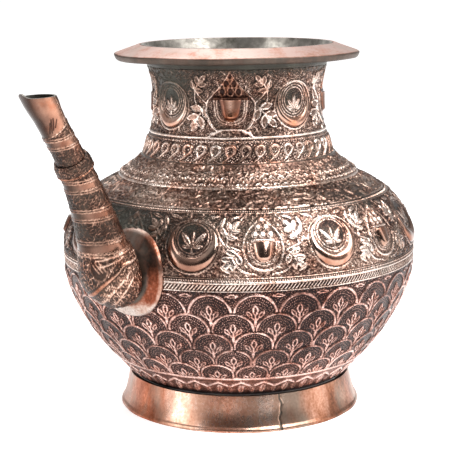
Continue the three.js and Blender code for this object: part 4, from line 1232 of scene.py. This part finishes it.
def bare_finish(name, stops, streak, smooth, dents, warmth):
    """Rubbed bare copper with grey streaks left by tinning and polishing, and a dark film where it is marked,
    which on the plate's dish is painted shade. On the foot the orange also paints reflections.
    """
    made, tree, shader = new_material(name)
    where = add(tree, "TexCoord")["Object"]
    wear_and_painted_shading = add(tree, "Attribute", attribute_name="wear_and_painted_shading")["Fac"]
    tarnished = add(tree, "Attribute", attribute_name="tarnish_and_painted_shading")["Fac"]
    dull_and_painted_shade = add(tree, "Math", [tarnished, 0], operation="MAXIMUM")[0]
    fresh_and_painted_light = add(tree, "Math", [tarnished, -1], operation="MULTIPLY", use_clamp=True)[0]

    # Smears drawn out upright by the polishing, and a fine grain.
    long = add(tree, "Mapping", {"Vector": where, "Scale": (1, 1, 0.35)})[0]
    smears = add(tree, "TexNoise", {"Vector": long, "Scale": RUBBING, "Detail": 5, "Roughness": 0.65})["Fac"]
    smears = add(tree, "MapRange", [smears, 0.35, 0.65, -0.3, 0.15])[0]
    grain = add(tree, "TexNoise", {"Vector": where, "Scale": GRAIN, "Detail": 3, "Roughness": 0.55})["Fac"]
    grain = add(tree, "MapRange", [grain, 0.3, 0.7, -0.12, 0.12])[0]
    worn = add(tree, "Math", [wear_and_painted_shading, smears], operation="ADD")[0]
    worn = add(tree, "Math", [worn, grain], operation="ADD", use_clamp=True)[0]
    colour = add(tree, "ValToRGB", [worn], stops)["Color"]

    # Clouds of orange copper, streaks of tin, and the dark film of tarnish. On the foot the orange also carries
    # painted reflections, and on the plate the film carries painted shade.
    clouds = add(tree, "TexNoise", {"Vector": long, "Scale": CLOUDS, "Detail": 4, "Roughness": 0.55})["Fac"]
    clouds = add(tree, "MapRange", [clouds, 0.44, 0.6, 0, warmth])[0]
    warm = add(tree, "Math", [clouds, fresh_and_painted_light], operation="ADD", use_clamp=True)[0]
    colour = add(tree, "Mix", {0: warm, 6: colour, 7: linear(BARE_ORANGE_AND_PAINTED_LIGHT_TINT)}, data_type="RGBA",
                 blend_type="MULTIPLY")[2]
    streaks = add(tree, "TexNoise", {"Vector": long, "Scale": STREAKS, "Detail": 4, "Roughness": 0.55})["Fac"]
    streaks = add(tree, "MapRange", [streaks, 0.5, 0.68, 0, 0.6])[0]
    colour = add(tree, "Mix", {0: streaks, 6: colour, 7: linear(streak)}, data_type="RGBA")[2]
    film = add(tree, "Math", [dull_and_painted_shade, 0.85], operation="MULTIPLY")[0]
    colour = add(tree, "Mix", {0: film, 6: colour, 7: linear(OLD_FILM_AND_PAINTED_SHADE)}, data_type="RGBA")[2]

    rough = add(tree, "MapRange", [worn, 0, 1, smooth + 0.16, smooth])[0]
    hammered = add(tree, "TexNoise", {"Vector": where, "Scale": DENTS, "Detail": 4, "Roughness": 0.55})["Fac"]
    bump = add(tree, "Bump", {"Strength": dents, "Distance": 0.4 * MM, "Height": hammered})[0]
    feed(tree, shader, {"Base Color": colour, "Roughness": rough, "Normal": bump})
    shader.inputs["Metallic"].default_value = 1
    return made


def floor_finish():
    """Matt white paper, a little bright of itself, so that the floor runs out white."""
    made, tree, shader = new_material("matt_white_sweep")
    shader.inputs["Base Color"].default_value = linear("#F7F7F7")
    shader.inputs["Roughness"].default_value = 0.9
    shader.inputs["Specular IOR Level"].default_value = 0.1
    shader.inputs["Emission Color"].default_value = linear("#FFFFFF")
    shader.inputs["Emission Strength"].default_value = 0.6
    return made


# Camera and light

LENS = 114.46
CAMERA_FROM_AXIS = (-671.5, -478.3, 257.7)
LOOK_FLAT = (0.8090, 0.5878)  # where the camera looks, seen from above
PITCH = math.radians(10.573)
ROLL = math.radians(0.70)


def make_camera():
    flat = math.cos(PITCH)
    look = Vector((LOOK_FLAT[0] * flat, LOOK_FLAT[1] * flat, -math.sin(PITCH))).normalized()
    right = look.cross(Vector((0, 0, 1))).normalized()
    up = right.cross(look)
    leaned_up = up * math.cos(ROLL) + right * math.sin(ROLL)
    leaned_right = right * math.cos(ROLL) - up * math.sin(ROLL)
    data = bpy.data.cameras.new("camera")
    data.lens = LENS
    data.sensor_width = 36
    camera = bpy.data.objects.new("camera", data)
    bpy.context.collection.objects.link(camera)
    turn = Matrix((leaned_right, leaned_up, -look)).transposed().to_4x4()
    place = Vector(CAMERA_FROM_AXIS) * MM + Vector((AXIS_X * MM, 0, 0))
    camera.matrix_world = Matrix.Translation(place) @ turn
    bpy.context.scene.camera = camera


DARK_BEARING = 12  # degrees right of the front: the photographer's dark side of the studio
POT_MIDDLE = Vector((AXIS_X * MM, 0, 0.11))


def bearing_vector(bearing, distance, elevation=0):
    """A place seen from the pot, by its bearing to the right of the front."""
    turn, lift = math.radians(FRONT + bearing), math.radians(elevation)
    flat = math.cos(lift)
    return Vector((math.cos(turn) * flat, math.sin(turn) * flat, math.sin(lift))) * distance


def soft_box(name, bearing, elevation, distance, size, power):
    data = bpy.data.lights.new(name, "AREA")
    data.shape = "RECTANGLE"
    data.size, data.size_y = size
    data.energy = power
    light = bpy.data.objects.new(name, data)
    bpy.context.collection.objects.link(light)
    place = bearing_vector(bearing, distance, elevation)
    light.rotation_euler = (-place).to_track_quat("-Z", "Y").to_euler()
    light.location = POT_MIDDLE + place


def make_studio():
    clear_selection()
    bpy.ops.mesh.primitive_plane_add(size=60)
    floor = bpy.context.object
    floor.name = "studio_floor"
    floor.data.materials.append(floor_finish())
    world = bpy.data.worlds.new("studio")
    world.use_nodes = True
    tree = world.node_tree
    direction = add(tree, "TexCoord")["Generated"]
    dark_side = bearing_vector(DARK_BEARING, 1)
    toward = add(tree, "VectorMath", [direction, dark_side], operation="DOT_PRODUCT")["Value"]
    light = add(tree, "MapRange", [toward, 0.4, 0.76, 0.6, 0.06])[0]
    tree.links.new(light, tree.nodes["Background"].inputs["Strength"])
    tree.nodes["Background"].inputs["Color"].default_value = linear("#FFFFFF")
    bpy.context.scene.world = world
    soft_box("key_high_right", 52, 54, 1.25, (1.0, 1.0), 24)
    soft_box("strip_right", 80, 14, 1.2, (0.35, 1.0), 2.6)
    soft_box("strip_left", -60, 16, 1.2, (0.5, 1.0), 5.5)
    soft_box("top_back", 200, 62, 1.3, (0.9, 0.6), 7)
    bpy.context.scene.view_settings.view_transform = "Standard"


make_camera()
make_studio()

PATINA = [(0, "#160E0C"), (0.28, "#372520"), (0.52, "#73584D"), (0.75, "#B29687"), (1, "#E4D2C8")]
BOWL_PATINA = [(0, "#190C0B"), (0.28, "#3B231F"), (0.52, "#735147"), (0.75, "#B48E83"), (1, "#E2C3B9")]
SPOUT_PATINA = [(0, "#1D1512"), (0.28, "#3D2B23"), (0.52, "#72564A"), (0.75, "#AF8C79"), (1, "#E8CEBF")]
RUBBED = [(0, "#3A2019"), (0.45, "#8E543F"), (0.75, "#B98F7F"), (1, "#C4A9A0")]
FOOT_COLOURS = [(0, "#2B1A14"), (0.4, "#94674F"), (0.7, "#C09883"), (1, "#DDC4B6")]
PLATE_COLOURS = [(0, "#2A1B16"), (0.4, "#7C4C39"), (0.7, "#A0897C"), (1, "#C2B8B1")]

# Copper chased from both sides and left with its patina: nearly black in the ground, and rubbed pink and
# bright on what stands up, so that the ornament reads as light on dark, with a spark on each punch mark.
chased = chased_finish("chased_patinated_copper", PATINA, "#4B4A42")
# The same work on the bowl, where the patina has gone purple brown and matt between the scales' pale lines.
bowl_finish = chased_finish("chased_purple_brown_copper", BOWL_PATINA, "#4A3C38")
# Engraved copper of the spout, handled more: browner, smoother and less speckled, with warm shining bands.
spout_finish = chased_finish("engraved_brown_copper", SPOUT_PATINA, "#4B433B", 0.14)
# Bare planished copper of the mouth's ring: a soft, even pink sheen that fades to pale cloudy streaks.
ring_copper = bare_finish("rubbed_pink_copper", RUBBED, "#B2A399", smooth=0.45, dents=0.3, warmth=0.05)
# Polished sheet of the foot: long streaks of mirrored light and dark, tan where worn and where its reflections
# are painted in, and grey where tin ran.
foot_copper = bare_finish("rubbed_foot_copper", FOOT_COLOURS, "#958D80", smooth=0.24, dents=0.12, warmth=0.22)
# Polished copper of the plate: a warm bright rim round a dish painted dull and dark as shade.
plate_copper = bare_finish("polished_plate_copper", PLATE_COLOURS, "#9A9087", smooth=0.26, dents=0.15,
                           warmth=0.15)
# Wiped tin inside the pot and the spout: a soft grey that keeps the mouth lighter than the patina.
tin = tin_finish()

bowl, frieze, shoulder = bowl_line(), frieze_line(), curve(SHOULDER_LINE)
petals, paisleys, neck = curve(PETAL_LINE), curve(PAISLEY_LINE), curve(NECK_LINE)
on_bowl, on_body = [bowl_finish, tin], [chased, tin]

# Each band is (piece, node, line, lowest and highest level, points round, step up in mm, chasing, finishes).
BANDS = [
    ("bowl_border", "lower_bowl", bowl, BOWL_FOOT[1], BORDER_Z, 900, 0.5, chase_border, on_bowl),
    ("bowl_scales_lower", "lower_bowl", bowl, BORDER_Z, SCALES_MIDDLE_Z, 1248, 0.55, chase_scales, on_bowl),
    ("bowl_scales_upper", "lower_bowl", bowl, SCALES_MIDDLE_Z, SCALES_TOP_Z, 1248, 0.5, chase_scales, on_bowl),
    ("belly_strokes", "lower_bowl", bowl, SCALES_TOP_Z, SEAM_Z, 1920, 0.4, chase_herringbone, on_body),
    ("belly_frieze", "upper_belly", frieze, SEAM_Z, BEAD_Z, 1160, 0.5, chase_frieze, on_body),
    ("bead_line", "upper_belly", shoulder, BEAD_Z, BEAD_TOP_Z, 1920, 0.4, chase_beads, on_body),
    ("shoulder_scrolls", "upper_belly", shoulder, BEAD_TOP_Z, SHOULDER_Z, 1000, 0.5, chase_shoulder, on_body),
    ("shoulder_petals", "shoulder_collar", petals, SHOULDER_Z, STEP_Z, 1008, 0.4, chase_petals, on_body),
    ("teardrop_band", "shoulder_collar", paisleys, STEP_Z + 0.1, NECK_Z, 880, 0.38, chase_paisley, on_body),
    ("neck_relief", "neck_sleeve", neck, NECK_Z, NECK_TOP_Z, 800, 0.4, chase_neck, on_body),
    ("neck_flare", "neck_sleeve", neck, NECK_TOP_Z, MOUTH_Z, 400, 0.8, chase_flare, on_body),
]
# Each stretch of the spout is (piece, node, start and end as shares of its length, points round, chasing).
STRETCHES = [
    ("spout_root_bulb", "spout_root", 0, ROOT_END, 240, chase_root),
    ("spout_lower", "spout_lower_tube", ROOT_END, COLLAR_SHARE, 150, chase_lower_tube),
    ("spout_upper", "spout_upper_tube", COLLAR_SHARE, 1, 130, chase_upper_tube),
]
FOOT_WALL = 2
SPOUT_STEP = 0.45

band("foot_ring_splay", "foot_ring", "bare_copper", curve(FOOT_LINE), 0, FOOT_HEIGHT, 960, 0.5, chase_foot,
     [foot_copper, foot_copper], FOOT_WALL)
make_floor_plate([chased])
for name, node, line, low, high, columns, step, chase, finishes in BANDS:
    band(name, node, "chased_copper", line, low, high, columns, step, chase, finishes)
make_mouth_ring(ring_copper, tin)
make_plate([plate_copper])
for name, node, low, high, columns, chase in STRETCHES:
    spout_piece(name, node, low, high, columns, SPOUT_STEP, chase, [spout_finish, tin])
make_collar([spout_finish])
